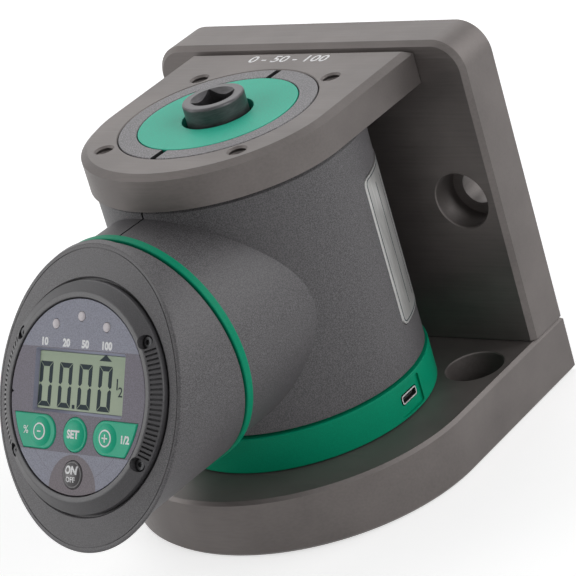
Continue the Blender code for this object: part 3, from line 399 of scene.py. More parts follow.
def ramp(tree, factor, dark, light, low=0.35, high=0.65):
    """Runs from one colour to another as a factor rises from low to high."""
    made = node(tree, "ValToRGB", {"Fac": factor})
    for stop, place, colour in zip(made.color_ramp.elements, (low, high), (dark, light)):
        stop.position = place
        stop.color = (*colour, 1.0)
    return made.outputs["Color"]


def mix(tree, factor, first, second, blend_type="MIX"):
    return node(tree, "MixRGB", {"Fac": factor, "Color1": first, "Color2": second},
                blend_type=blend_type).outputs["Color"]


def calc(tree, operation, first, second):
    made = node(tree, "Math", operation=operation)
    for socket, value in zip(made.inputs, (first, second)):
        if isinstance(value, bpy.types.NodeSocket):
            tree.links.new(value, socket)
        else:
            socket.default_value = value
    return made.outputs["Value"]


def object_parts(tree):
    """X, Y and Z of a point in the piece's own coordinates."""
    place = node(tree, "TexCoord").outputs["Object"]
    return node(tree, "SeparateXYZ", {"Vector": place}).outputs


def spread(tree, factor, low, high):
    """Turns noise into a number between two limits."""
    return node(tree, "MapRange", {"Value": factor, "From Min": 0.3, "From Max": 0.7,
                                             "To Min": low, "To Max": high}).outputs["Result"]


def shaded(colour, factor):
    return tuple(min(1.0, part * factor) for part in colour)


def connect(made, colour, roughness=None, height=None, distance=0.0, strength=1.0):
    """Links colour, roughness and surface relief to a material's shader."""
    tree = made.node_tree
    shader = tree.nodes["Principled BSDF"]
    tree.links.new(colour, shader.inputs["Base Color"])
    if roughness:
        tree.links.new(roughness, shader.inputs["Roughness"])
    if height:
        bump = node(tree, "Bump", {"Height": height, "Distance": distance, "Strength": strength})
        tree.links.new(bump.outputs["Normal"], shader.inputs["Normal"])
    return made


def ground_steel(name, colour, stretch, roughness=0.48):
    """Browned steel with fine grinding lines and faint patches."""
    made = new_material(name, colour, roughness, 0.5)
    tree = made.node_tree
    lines = grain(tree, 1500, 3.0, stretch)
    patches = grain(tree, 38, 4.0)
    tone = mix(tree, 0.5, ramp(tree, patches, shaded(colour, 0.74), shaded(colour, 1.22)),
               ramp(tree, lines, shaded(colour, 0.86), shaded(colour, 1.12)))
    return connect(made, tone, spread(tree, lines, roughness - 0.06, roughness + 0.07), lines, 0.000004, 0.5)


def moulded(name, colour, speckle, roughness=0.5, size=3200, relief=0.00002, gloss=0.45):
    """Moulded plastic with a fine eroded grain."""
    made = new_material(name, colour, roughness, 0.0, gloss)
    tree = made.node_tree
    fine = grain(tree, size, 1.5)
    broad = grain(tree, 60, 3.0)
    specks = ramp(tree, fine, shaded(colour, 1 - speckle), shaded(colour, 1 + speckle), 0.38, 0.66)
    tone = mix(tree, 0.18, specks, ramp(tree, broad, shaded(colour, 0.85), shaded(colour, 1.15)))
    return connect(made, tone, spread(tree, fine, roughness - 0.07, roughness + 0.08), fine, relief, 0.45)


def paint_top_light(plain, level, gain):
    """A copy of a material that is lighter above a height: painted light from above on the spigot's top,
    speckled with its grain.
    """
    made = plain.copy()
    made.name = plain.name + "_painted_top_light"
    tree = made.node_tree
    shader = tree.nodes["Principled BSDF"]
    tone = shader.inputs["Base Color"].links[0].from_socket
    above = calc(tree, "GREATER_THAN", object_parts(tree)["Z"], level)
    speck = ramp(tree, grain(tree, 2400, 1.5), (gain * 0.7,) * 3, (gain * 1.3,) * 3)
    lighter = mix(tree, 1.0, tone, speck, "MULTIPLY")
    tree.links.new(mix(tree, above, tone, lighter), shader.inputs["Base Color"])
    return made


def turned_steel(name, colour, roughness, metallic=0.7):
    """Steel with fine rings from turning."""
    made = new_material(name, colour, roughness, metallic)
    tree = made.node_tree
    rings = grain(tree, 2600, 2.0, (0.15, 0.15, 1.0))
    tone = ramp(tree, rings, shaded(colour, 0.85), shaded(colour, 1.15))
    return connect(made, tone, spread(tree, rings, roughness - 0.05, roughness + 0.07), rings, 0.000004, 0.4)


def ink(name, colour, roughness=0.45):
    """Printed ink, a little uneven."""
    made = new_material(name, colour, roughness, 0.0, 0.15)
    tree = made.node_tree
    uneven = grain(tree, 2600, 2.0)
    return connect(made, ramp(tree, uneven, shaded(colour, 0.93), shaded(colour, 1.04)))


def panel_film():
    """Printed film: a purple grey band between blue grey ends, and a darker zone round the lowest key."""
    band, ends, zone = (0.158, 0.142, 0.180), (0.262, 0.268, 0.335), (0.160, 0.134, 0.152)
    made = new_material("panel_film", band, 0.42, 0.0, 0.25)
    tree = made.node_tree
    parts = object_parts(tree)

    def squared(part, centre):
        return calc(tree, "POWER", calc(tree, "SUBTRACT", parts[part], centre), 2.0)

    upper = calc(tree, "GREATER_THAN", parts["Y"], FILM_BAND_HIGH)
    below = calc(tree, "LESS_THAN", parts["Y"], FILM_BAND_LOW)
    across = squared("X", PANEL_CENTRE_X)
    square = calc(tree, "ADD", across, squared("Y", FILM_ARC_Y))
    line = calc(tree, "MULTIPLY", calc(tree, "GREATER_THAN", square, FILM_ARC_INNER ** 2),
                calc(tree, "LESS_THAN", square, FILM_ARC_OUTER ** 2))
    around = calc(tree, "ADD", across, squared("Y", CLEAR_ZONE_Y))
    in_zone = calc(tree, "LESS_THAN", around, CLEAR_ZONE_RADIUS ** 2)
    tone = mix(tree, calc(tree, "MAXIMUM", upper, below), (*band, 1), (*ends, 1))
    tone = mix(tree, calc(tree, "MULTIPLY", below, line), tone, (*band, 1))
    tone = mix(tree, in_zone, tone, (*zone, 1))
    fine = grain(tree, 2800, 1.5)
    speck = ramp(tree, fine, (0.80, 0.80, 0.80), (1.22, 1.22, 1.22), 0.38, 0.66)
    tone = mix(tree, 1.0, tone, speck, "MULTIPLY")
    return connect(made, tone, spread(tree, fine, 0.36, 0.5), fine, 0.000008, 0.35)


def lcd_face():
    """Reflective display: grey green, a little lighter towards its foot, which is painted shading for how
    light falls on it.
    """
    made = new_material("lcd_face", (0.40, 0.49, 0.35), 0.35, 0.0, 0.15)
    tree = made.node_tree
    rise = node(tree, "MapRange", {"Value": object_parts(tree)["Y"], "From Min": LCD_SHADE_LOW,
                                   "From Max": LCD_SHADE_HIGH}).outputs["Result"]
    tone = ramp(tree, rise, (0.45, 0.53, 0.39), (0.37, 0.46, 0.33), 0.0, 1.0)
    uneven = grain(tree, 900, 2.0)
    patches = ramp(tree, uneven, (0.36, 0.44, 0.31), (0.46, 0.55, 0.40))
    return connect(made, mix(tree, 0.1, tone, patches), spread(tree, uneven, 0.30, 0.40))


def brushed_plate():
    """Silver label with lines brushed along the column."""
    colour = (0.62, 0.62, 0.61)
    made = new_material("brushed_plate", colour, 0.34, 0.75)
    tree = made.node_tree
    lines = grain(tree, 3500, 2.0, (1.0, 1.0, 0.04))
    return connect(made, ramp(tree, lines, shaded(colour, 0.86), shaded(colour, 1.12)),
                   spread(tree, lines, 0.28, 0.42), lines, 0.000003, 0.4)


# Cells to a metre in the grain of the smooth plastics
FINE_GRAIN = 3800

STEEL = ground_steel("steel", (0.142, 0.127, 0.122), (0.03, 1.0, 1.0))
SHAFT_STEEL = turned_steel("shaft_steel", (0.085, 0.082, 0.086), 0.34)
SCREW_STEEL = turned_steel("screw_steel", (0.045, 0.045, 0.048), 0.45, 0.5)
BRIGHT_STEEL = turned_steel("bright_steel", (0.72, 0.72, 0.73), 0.22, 0.3)
GREY = moulded("grey_plastic", (0.094, 0.090, 0.095), 0.56, relief=0.00003)
# Housing grey with painted top light on the spigot above the top plate
HOUSING_GREY_PAINTED_TOP = paint_top_light(GREY, TOP_LOW_Z, gain=2.1)
BEZEL_GREY = moulded("bezel_plastic", (0.062, 0.060, 0.064), 0.30, 0.42, FINE_GRAIN, 0.00001)
GREEN = moulded("green_plastic", (0.0, 0.275, 0.148), 0.10, 0.45, gloss=0.12)
# The green plastic made lighter for the top disc: painted light from above on its top face
DISC_GREEN_PAINTED_LIGHT = moulded("disc_green", (0.030, 0.50, 0.345), 0.18, 0.5, gloss=0.3)
KEY_GREEN = moulded("key_green", (0.012, 0.46, 0.270), 0.06, 0.38, FINE_GRAIN, 0.000005, 0.2)
KEY_DARK = moulded("key_dark", (0.055, 0.050, 0.054), 0.2, 0.38, FINE_GRAIN, 0.000005)
BLACK = moulded("black_plastic", (0.012, 0.012, 0.013), 0.2, 0.5)
FILM = panel_film()
# The film's lilac grey made lighter for the display opening's walls: painted light caught by the sloped walls
WINDOW_BEVEL_PAINTED_LIGHT = moulded("window_bevel", (0.31, 0.32, 0.42), 0.08, 0.45, FINE_GRAIN, 0.000004, 0.3)
LCD = lcd_face()
LABEL = brushed_plate()
WHITE_INK = ink("white_ink", (0.94, 0.94, 0.95))
DARK_INK = ink("dark_ink", (0.020, 0.034, 0.042), 0.6)
LENS = moulded("light_lens", (0.74, 0.69, 0.72), 0.06, 0.4, FINE_GRAIN, 0.000002, 0.2)
BOARD = moulded("board_green", (0.02, 0.16, 0.07), 0.15, 0.4)


# Shapes

def arc(centre, radius, start, end, steps):
    """Points on an arc, both ends included."""
    turns = [start + (end - start) * i / steps for i in range(steps + 1)]
    return [(centre[0] + radius * cos(turn), centre[1] + radius * sin(turn)) for turn in turns]


def circle(radius, steps, centre=(0.0, 0.0)):
    return arc(centre, radius, 0.0, 2 * pi * (steps - 1) / steps, steps - 1)


def lifted(outline, height):
    return [(x, y, height) for x, y in outline]


def level_ring(radius, height):
    return lifted(circle(radius, FINE), height)


def rounded_box(centre, width, height, radius, steps=6):
    """A rectangle with round corners."""
    points = []
    for i, (side_x, side_y) in enumerate(((1, 1), (-1, 1), (-1, -1), (1, -1))):
        corner = (centre[0] + side_x * (width / 2 - radius), centre[1] + side_y * (height / 2 - radius))
        points += arc(corner, radius, i * pi / 2, (i + 1) * pi / 2, steps)
    return points


def eased(outline, radius, steps=3):
    """A closed outline of (radius, height) points with its corners rounded, except on the axis."""
    points = []
    count = len(outline)
    for i, corner in enumerate(outline):
        corner = Vector(corner)
        if corner.x == 0.0:
            points.append(corner)
            continue
        before, after = Vector(outline[i - 1]) - corner, Vector(outline[(i + 1) % count]) - corner
        reach = min(radius, before.length * EASE_SHARE, after.length * EASE_SHARE)
        start, end = corner + before.normalized() * reach, corner + after.normalized() * reach
        for k in range(steps + 1):
            share = k / steps
            points.append(start.lerp(corner, share).lerp(corner.lerp(end, share), share))
    return [(point.x, point.y) for point in points]


def add(name, data):
    """A new object in the scene."""
    made = bpy.data.objects.new(name, data)
    bpy.context.scene.collection.objects.link(made)
    return made


def evaluated_mesh(piece):
    """A piece's mesh after its modifiers, or a text's letters as a mesh."""
    bpy.context.view_layer.update()
    return bpy.data.meshes.new_from_object(piece.evaluated_get(bpy.context.evaluated_depsgraph_get()))


def mesh_object(bm, name):
    mesh = bpy.data.meshes.new(name)
    bm.to_mesh(mesh)
    bm.free()
    return add(name, mesh)


def finish(bm, name):
    """The object of a mesh, with doubled points merged and faces turned outwards."""
    bmesh.ops.remove_doubles(bm, verts=bm.verts, dist=MERGE_DISTANCE)
    bmesh.ops.recalc_face_normals(bm, faces=bm.faces)
    return mesh_object(bm, name)


def wall(bm, low, high):
    """Faces between two rings of points."""
    for i in range(len(low)):
        bm.faces.new((low[i - 1], low[i], high[i], high[i - 1]))


def ringed(name, rings):
    """A closed solid through rings of points, each joined to the next and the last to the first."""
    bm = bmesh.new()
    loops = [[bm.verts.new(point) for point in ring] for ring in rings]
    for low, high in zip(loops, loops[1:] + loops[:1]):
        wall(bm, low, high)
    return finish(bm, name)


def turned(name, outline, steps=FINE):
    """A solid turned about Z from a closed outline of (radius, height) points."""
    bm = bmesh.new()
    rings = []
    for radius, height in outline:
        points = lifted(circle(radius, steps) if radius > 0.0 else [(0.0, 0.0)], height)
        rings.append([bm.verts.new(point) for point in points])
    for low, high in zip(rings, rings[1:] + rings[:1]):
        for i in range(steps):
            corners = [low[(i - 1) % len(low)], low[i % len(low)]]
            corners += [high[i % len(high)], high[(i - 1) % len(high)]]
            corners = list(dict.fromkeys(corners))
            if len(corners) > 2:
                bm.faces.new(corners)
    return finish(bm, name)


def prism(name, levels):
    """A solid through closed outlines with equal numbers of (x, y) points, one for each height."""
    bm = bmesh.new()
    loops = [[bm.verts.new(point) for point in lifted(*level)] for level in levels]
    bm.faces.new(reversed(loops[0]))
    bm.faces.new(loops[-1])
    for low, high in zip(loops, loops[1:]):
        wall(bm, low, high)
    return finish(bm, name)


def slab(name, outline, low, high):
    """A straight prism between two heights."""
    return prism(name, [(outline, low), (outline, high)])


def block(name, low, high):
    outline = [(low[0], low[1]), (high[0], low[1]), (high[0], high[1]), (low[0], high[1])]
    return slab(name, outline, low[2], high[2])


def moved(piece, matrix):
    piece.data.transform(matrix)
    return piece


def combine(target, tool, operation):
    step = target.modifiers.new(operation.lower(), "BOOLEAN")
    step.operation = operation
    step.solver = "EXACT"
    step.object = tool
    result = evaluated_mesh(target)
    target.modifiers.remove(step)
    target.data = result
    bpy.data.objects.remove(tool, do_unlink=True)
    return target


def cut(target, *tools):
    for tool in tools:
        combine(target, tool, "DIFFERENCE")
    return target


def counterbore(bore, wide, depth, through, steps=ROUND):
    """A stepped hole from Z = 0 downwards, with its mouth broken."""
    profile = [(0, PAST), (wide + MOUTH_EDGE + PAST, PAST), (wide, -MOUTH_EDGE), (wide, -depth),
               (bore, -depth), (bore, -through), (0, -through)]
    return turned("hole", profile, steps)


def true_normals(piece, *axes):
    """Shades a piece as the turned surfaces that it is made of, so that cuts leave no marks.

    Each axis is a frame, the reach within which it counts, and whether it has straight walls only.
    """
    mesh = piece.data
    mesh.shade_smooth()
    normals = [None] * len(mesh.loops)
    for face in mesh.polygons:
        turned_frame = None
        for matrix, reach, straight in axes:
            back = matrix.inverted()
            centre = back @ face.center
            distance = hypot(centre.x, centre.y)
            if distance < ON_AXIS or distance > reach:
                continue
            normal = back.to_3x3() @ face.normal
            outwards = (normal.x * centre.x + normal.y * centre.y) / distance
            across = (normal.y * centre.x - normal.x * centre.y) / distance
            sloped = straight and abs(normal.z) > STRAIGHT_LIMIT
            if abs(across) < ACROSS_LIMIT and abs(outwards) > OUTWARDS_LEAST and not sloped:
                turned_frame = (matrix, back, outwards, normal.z)
                break
        for loop in face.loop_indices:
            if turned_frame is None:
                normals[loop] = face.normal.copy()
                continue
            matrix, back, outwards, along = turned_frame
            spot = back @ mesh.vertices[mesh.loops[loop].vertex_index].co
            away = Vector((spot.x, spot.y, 0.0)).normalized() * outwards
            normals[loop] = (matrix.to_3x3() @ Vector((away.x, away.y, along))).normalized()
    mesh.normals_split_custom_set(normals)
    return piece


def about(matrix=None, reach=inf, straight=False):
    """An axis for true_normals."""
    return (matrix or Matrix(), reach, straight)


def smooth(piece, angle=32):
    piece.data.shade_smooth()
    piece.data.set_sharp_from_angle(angle=radians(angle))
    return piece


def dress(piece, matrix, finish_material, body, slot, *nodes):
    """Puts a piece in its place, with its material, its body and the nodes that it stands for."""
    piece.matrix_world = matrix
    piece.data.materials.clear()
    piece.data.materials.append(finish_material)
    if nodes:
        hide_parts(*nodes)
    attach(piece, body)
    return piece


def lettering(name, words, size, centre, height, weight):
    """Flat letters centred on a point of the XY plane."""
    text = bpy.data.curves.new(name, "FONT")
    text.body = words
    text.size = size
    text.align_x = "CENTER"
    text.align_y = "CENTER"
    text.offset = weight * size
    text.extrude = PRINT_THICKNESS / 2
    text.resolution_u = 4
    flat = add(name, text)
    mesh = evaluated_mesh(flat)
    bpy.data.objects.remove(flat, do_unlink=True)
    return moved(add(name, mesh), at(*centre, height))


def laid_on(piece, rise):
    """Cuts a print into small cells and lifts each point by the height of what lies under it."""
    bm = bmesh.new()
    bm.from_mesh(piece.data)
    for normal in (Vector((1, 0, 0)), Vector((0, 1, 0))):
        places = [vertex.co.dot(normal) for vertex in bm.verts]
        low, high = min(places), max(places)
        for i in range(1, int((high - low) / PRINT_CELL) + 1):
            whole = bm.verts[:] + bm.edges[:] + bm.faces[:]
            spot = normal * (low + i * PRINT_CELL)
            bmesh.ops.bisect_plane(bm, geom=whole, dist=CUT_DISTANCE, plane_co=spot, plane_no=normal)
    for vertex in bm.verts:
        vertex.co.z += rise(vertex.co.x, vertex.co.y)
    bm.to_mesh(piece.data)
    bm.free()
    return piece


def joined(name, pieces):
    """One object from several that share a material."""
    bm = bmesh.new()
    for piece in pieces:
        bm.from_mesh(piece.data)
        bpy.data.objects.remove(piece, do_unlink=True)
    return mesh_object(bm, name)


# Steel bracket

def plate_outline(half_width, centre_y, back_y, inset):
    width = half_width - inset
    front = arc((0.0, centre_y), width, pi, 2 * pi, ROUND)
    return front + [(width, back_y - inset), (-width, back_y - inset)]


def plate_hole(plate, axes, spot, bore, wide, depth, thickness, slack=0.0, steps=ROUND):
    """Cuts a counterbored hole through a plate and adds its axis to the plate's axes."""
    cut(plate, moved(counterbore(bore + slack, wide + slack, depth, thickness + PAST, steps), spot))
    axes.append(about(spot, wide + PAST))


def mount_hole(plate, axes, spot, thickness):
    plate_hole(plate, axes, spot, MOUNT_BORE, MOUNT_COUNTERBORE, MOUNT_DEPTH, thickness)


def cap_hole(plate, axes, spot, thickness):
    plate_hole(plate, axes, spot, CAP_SHANK_RADIUS, CAP_HEAD_RADIUS, CAP_SEAT, thickness, GAP, SMALL)


def bottom_plate():
    centre_y = BOTTOM_BOX[0].y + PLATE_HALF_WIDTH
    levels = [(BOTTOM_CHAMFER, 0.0), (0.0, BOTTOM_CHAMFER), (0.0, BOTTOM_THICKNESS - BOTTOM_CHAMFER),
              (BOTTOM_CHAMFER, BOTTOM_THICKNESS)]
    plate = prism("bottom_plate_steel", [(plate_outline(PLATE_HALF_WIDTH, centre_y, REAR_Y, inset), height)
                                         for inset, height in levels])
    axes = []
    for side in (-1, 1):
        spot = at(side * BOTTOM_MOUNT[0], BOTTOM_MOUNT[1], BOTTOM_THICKNESS)
        mount_hole(plate, axes, spot, BOTTOM_THICKNESS)
    middle_y = (BACK_FRONT_Y + REAR_Y) / 2
    spots = [(side * PLATE_SCREW_PITCH, middle_y) for side in (-1, 0, 1)] + shaft_screw_spots()
    for x, y in spots:
        spot = at(x, y, 0.0) @ Matrix.Rotation(pi, 4, "X")
        cap_hole(plate, axes, spot, BOTTOM_THICKNESS)
    axes.append(about(at(0, centre_y, 0)))
    true_normals(plate, *axes)
    dress(plate, Matrix(), STEEL, "base", "ground_steel", "bottom_plate")


def shaft_screw_spots():
    turns = [pi / 4 + i * pi / 2 for i in range(4)]
    return [(SHAFT_SCREW_CIRCLE * cos(turn), SHAFT_SCREW_CIRCLE * sin(turn)) for turn in turns]


def back_plate_outline(inset):
    half, top, radius = PLATE_HALF_WIDTH - inset, BACK_BOX[1].z - inset, BACK_CORNER - inset
    right = arc((half - radius, top - radius), radius, 0.0, pi / 2, SMALL // 2)
    left = arc((radius - half, top - radius), radius, pi / 2, pi, SMALL // 2)
    return [(-half, BACK_BOX[0].z), (half, BACK_BOX[0].z)] + right + left


def back_plate():
    thickness = REAR_Y - BACK_FRONT_Y
    levels = [(BACK_REAR_CHAMFER, -thickness), (0.0, BACK_REAR_CHAMFER - thickness),
              (0.0, -BACK_FRONT_CHAMFER), (BACK_FRONT_CHAMFER, 0.0)]
    plate = prism("back_plate_steel", [(back_plate_outline(inset), depth) for inset, depth in levels])
    moved(plate, at(0, BACK_FRONT_Y, 0) @ UPRIGHT)
    axes = []
    for side in (-1, 1):
        spot = at(side * BACK_MOUNT[0], BACK_FRONT_Y, BACK_MOUNT[1]) @ UPRIGHT
        mount_hole(plate, axes, spot, thickness)
        spot = at(side * TOP_SCREW_PITCH / 2, REAR_Y, (TOP_LOW_Z + TOP_Z) / 2)
        cap_hole(plate, axes, spot @ Matrix.Rotation(-pi / 2, 4, "X"), thickness)
        corner = (side * (PLATE_HALF_WIDTH - BACK_CORNER), BACK_FRONT_Y, BACK_BOX[1].z - BACK_CORNER)
        axes.append(about(at(*corner) @ UPRIGHT, BACK_CORNER + PAST))
    true_normals(plate, *axes)
    dress(plate, Matrix(), STEEL, "base", "ground_steel", "back_plate")


def tapped_hole():
    """A tapped hole with its thread as rings, and a broken mouth."""
    wide = TAPPED_RADIUS + THREAD_DEPTH
    depth = TOP_Z - TOP_LOW_Z
    profile = [(0, PAST), (TAPPED_MOUTH + PAST, PAST), (TAPPED_RADIUS, TAPPED_RADIUS - TAPPED_MOUTH)]
    count = int(depth / THREAD_PITCH)
    for i in range(1, count):
        profile += [(wide, -(i + 0.5) * THREAD_PITCH), (TAPPED_RADIUS, -(i + 1) * THREAD_PITCH)]
    profile += [(TAPPED_RADIUS, -depth - PAST), (0, -depth - PAST)]
    return turned("hole", profile, SMALL)


def top_plate():
    centre_y = TOP_BOX[0].y + TOP_HALF_WIDTH
    levels = [(0.0, TOP_LOW_Z), (0.0, TOP_Z - TOP_CHAMFER_DEPTH), (TOP_CHAMFER_WIDTH, TOP_Z)]
    plate = prism("top_plate_steel", [(plate_outline(TOP_HALF_WIDTH, centre_y, TOP_BOX[1].y, inset), height)
                                      for inset, height in levels])
    edge = MOUTH_EDGE
    bore = [(0, TOP_LOW_Z - PAST), (TOP_BORE_RADIUS, TOP_LOW_Z - PAST), (TOP_BORE_RADIUS, TOP_Z - edge),
            (TOP_BORE_RADIUS + edge + PAST, TOP_Z + PAST), (0, TOP_Z + PAST)]
    cut(plate, turned("bore", bore))
    axes = []
    for x in (-TAPPED_PLACE, TAPPED_PLACE):
        for y in (-TAPPED_PLACE, TAPPED_PLACE):
            spot = at(x, y, TOP_Z)
            cut(plate, moved(tapped_hole(), spot))
            axes.append(about(spot, TAPPED_MOUTH + THREAD_DEPTH))
    axes += [about(reach=TOP_BORE_RADIUS + PAST), about(at(0, centre_y, 0))]
    true_normals(plate, *axes)
    dress(plate, Matrix(), STEEL, "base", "ground_steel", "top_plate")
    words = lettering("range_numbers", "0 - 50 - 100", RANGE_SIZE, (0.0, RANGE_Y), TOP_Z, weight=0.012)
    dress(words, Matrix(), WHITE_INK, "base", "light_lens")


def measuring_shaft():
    """The shaft's boss stands through the green disc; its square socket has a round lead-in."""
    foot, top = SHAFT_BOX[0].z, SHAFT_BOX[1].z
    collar = COLLAR_SEAT_RADIUS - GAP
    profile = [(0, foot), (SHAFT_FLANGE_RADIUS, foot), (SHAFT_FLANGE_RADIUS, foot + SHAFT_FLANGE_TOP),
               (SHAFT_FOOT_RADIUS, foot + SHAFT_FLANGE_TOP), (SHAFT_FOOT_RADIUS, foot + SHAFT_FOOT_TOP),
               (SHAFT_WAIST_RADIUS, foot + SHAFT_WAIST_LOW), (SHAFT_WAIST_RADIUS, foot + SHAFT_WAIST_TOP),
               (collar, foot + SHAFT_COLLAR_LOW), (collar, foot + SHAFT_COLLAR_TOP),
               (BOSS_RADIUS, foot + SHAFT_COLLAR_TOP), (BOSS_RADIUS, top), (0, top)]
    shaft = turned("shaft_steelwork", eased(profile, SHAFT_EASE))
    outline = rounded_box((0.0, 0.0), 2 * SOCKET_HALF, 2 * SOCKET_HALF, SOCKET_CORNER)
    cut(shaft, slab("socket", outline, top - SOCKET_DEPTH, top + PAST))
    slope = (LEAD_IN_RADIUS - SOCKET_HALF) / LEAD_IN_DEPTH
    lead_in = [(0, top - LEAD_IN_DEPTH), (SOCKET_HALF, top - LEAD_IN_DEPTH),
               (LEAD_IN_RADIUS + slope * PAST, top + PAST), (0, top + PAST)]
    cut(shaft, turned("lead_in", lead_in))
    true_normals(shaft, about())
    dress(shaft, Matrix(), SHAFT_STEEL, "base", "bright_steel", "measuring_shaft")


def sideways(outline, start, end):
    """A prism along +X whose outline's X runs along Y and whose Y runs up."""
    made = slab("tool", outline, start, end)
    return moved(made, Matrix(((0, 0, 1, 0), (1, 0, 0, 0), (0, 1, 0, 0), (0, 0, 0, 1))))


def base_band():
    low, high = BAND_BOX[0].z, BAND_BOX[1].z
    inner = BAND_RADIUS - BAND_WALL
    step = inner + BAND_STEP
    profile = [(inner, low), (BAND_RADIUS, low), (BAND_RADIUS, high - BAND_LIP),
               (step, high - BAND_LIP), (step, high), (inner, high)]
    band = turned("base_band_ring", eased(profile, BAND_EASE))
    centre = (USB_CENTRE.y, USB_CENTRE.z)
    floor_x = BAND_RADIUS - USB_RECESS_DEPTH
    cut(band, sideways(rounded_box(centre, *USB_RECESS, USB_RECESS_CORNER), floor_x, BAND_RADIUS + PAST))
    port = rounded_box(centre, USB_SIZE[0] + 2 * GAP, USB_SIZE[1] + 2 * GAP, USB_PORT_CORNER)
    cut(band, sideways(port, inner - PAST, BAND_RADIUS))
    true_normals(band, about())
    dress(band, Matrix(), GREEN, "base", "green_plastic", "base_band")
    front = floor_x + USB_PROUD
    shell = sideways(rounded_box(centre, *USB_SIZE, USB_CORNER), front - USB_DEPTH, front)
    mouth = rounded_box(centre, USB_SIZE[0] - 2 * USB_WALL, USB_SIZE[1] - 2 * USB_WALL, USB_MOUTH_CORNER)
    cut(shell, sideways(mouth, front - USB_DEPTH + USB_WALL, front + PAST))
    smooth(shell)
    shell.name = "data_socket_shell"
    dress(shell, Matrix(), BRIGHT_STEEL, "base", "bright_steel", "socket_shell")
    # The steel shell's walls behind its front lip take black: painted shade inside the socket's mouth
    shell.data.materials.append(BLACK)
    for face in shell.data.polygons:
        face.material_index = int(face.center.x < front - USB_WALL)


# Swivelling housing

def label_patch(name, inner, outer, grow):
    """A piece of a round shell with the label's outline, grown on all sides."""
    width = 2 * COLUMN_RADIUS * sin(LABEL_SPAN / 2) + 2 * grow
    outline = rounded_box((0.0, 0.0), width, LABEL_HIGH_Z - LABEL_LOW_Z + 2 * grow, LABEL_CORNER + grow)
    blank = slab(name, outline, COLUMN_RADIUS / 2, 2 * COLUMN_RADIUS)
    upright = Matrix.Rotation(LABEL_MIDDLE + pi / 2, 4, "Z") @ UPRIGHT
    moved(blank, at(0, 0, (LABEL_LOW_Z + LABEL_HIGH_Z) / 2) @ upright)
    shell = turned("shell", [(inner, 0), (outer, 0), (outer, TOP_Z), (inner, TOP_Z)])
    return combine(blank, shell, "INTERSECT")


def housing_solid():
    foot, shoulder, chamfer = HOUSING_FOOT_Z, SHOULDER_Z, SHOULDER_CHAMFER
    inner, roof = COLUMN_RADIUS - COLUMN_WALL, SHOULDER_Z - COLUMN_WALL
    seat = TOP_Z - DISC_THICKNESS - GAP
    edge = HOUSING_EDGE
    outer = turned("housing", [(0, foot), (COLUMN_RADIUS - edge, foot), (COLUMN_RADIUS, foot + edge),
                               (COLUMN_RADIUS, shoulder - chamfer), (COLUMN_RADIUS - chamfer, shoulder),
                               (SPIGOT_RADIUS, shoulder), (SPIGOT_RADIUS, TOP_Z - edge),
                               (SPIGOT_RADIUS - edge, TOP_Z), (0, TOP_Z)])
    neck = turned("neck", [(0, 0), (NECK_RADIUS, 0), (NECK_RADIUS, NECK_END - edge),
                           (NECK_RADIUS - edge, NECK_END), (0, NECK_END)])
    combine(outer, moved(neck, NECK_LOCAL), "UNION")
    bore = turned("bore", [(0, foot - PAST), (inner, foot - PAST), (inner, roof), (COLLAR_SEAT_RADIUS, roof),
                           (COLLAR_SEAT_RADIUS, seat), (SPIGOT_INNER_RADIUS, seat),
                           (SPIGOT_INNER_RADIUS, TOP_Z - edge),
                           (SPIGOT_INNER_RADIUS + edge + PAST, TOP_Z + PAST), (0, TOP_Z + PAST)])
    hollow = turned("hollow", [(0, 0), (NECK_BORE_RADIUS, 0), (NECK_BORE_RADIUS, NECK_END + PAST),
                               (0, NECK_END + PAST)])
    cut(outer, bore, moved(hollow, NECK_LOCAL))
    pocket = COLUMN_RADIUS - LABEL_POCKET_DEPTH
    return cut(outer, label_patch("pocket", pocket, COLUMN_RADIUS + PAST, GAP))


def housing_halves():
    whole = housing_solid()
    for name, side in (("housing_left", -1), ("housing_right", 1)):
        half = add(name + "_shell", whole.data.copy())
        other = sorted((side * SEAM / 2, -side * FAR))
        cut(half, block("split", (other[0], -FAR, -FAR), (other[1], FAR, FAR)))
        slot = sorted((side * SLIT_WIDTH / 2, -side * PAST))
        for end in (-1, 1):
            ends = sorted((end * (SPIGOT_INNER_RADIUS - PAST / 4), end * (SPIGOT_RADIUS + PAST)))
            cut(half, block("slot", (slot[0], ends[0], TOP_LOW_Z), (slot[1], ends[1], TOP_Z + PAST)))
        true_normals(half, about(NECK_LOCAL, NECK_RADIUS + SEAM, True), about())
        # The housing's material has painted top light on the spigot
        dress(half, HOUSING, HOUSING_GREY_PAINTED_TOP, "housing", "grey_plastic", name)
        # The seam's and the slits' walls, of the housing's own grey, take black: painted shade in these
        # narrow gaps
        half.data.materials.append(BLACK)
        for face in half.data.polygons:
            crossways = abs(face.normal.x) > SQUARE_TO_AXIS
            face.material_index = int(crossways and abs(face.center.x) < SLIT_WIDTH)
    bpy.data.objects.remove(whole, do_unlink=True)


def top_disc():
    rim, low = SPIGOT_INNER_RADIUS - GAP, TOP_Z - DISC_THICKNESS
    profile = [(DISC_BORE_RADIUS, low), (rim, low), (rim, TOP_Z), (DISC_BORE_RADIUS, TOP_Z)]
    disc = turned("disc", eased(profile, DISC_EASE))
    true_normals(disc, about())
    disc.name = "top_disc_green"
    # The disc's lighter green is painted light from above
    dress(disc, HOUSING, DISC_GREEN_PAINTED_LIGHT, "housing", "green_plastic", "top_disc")


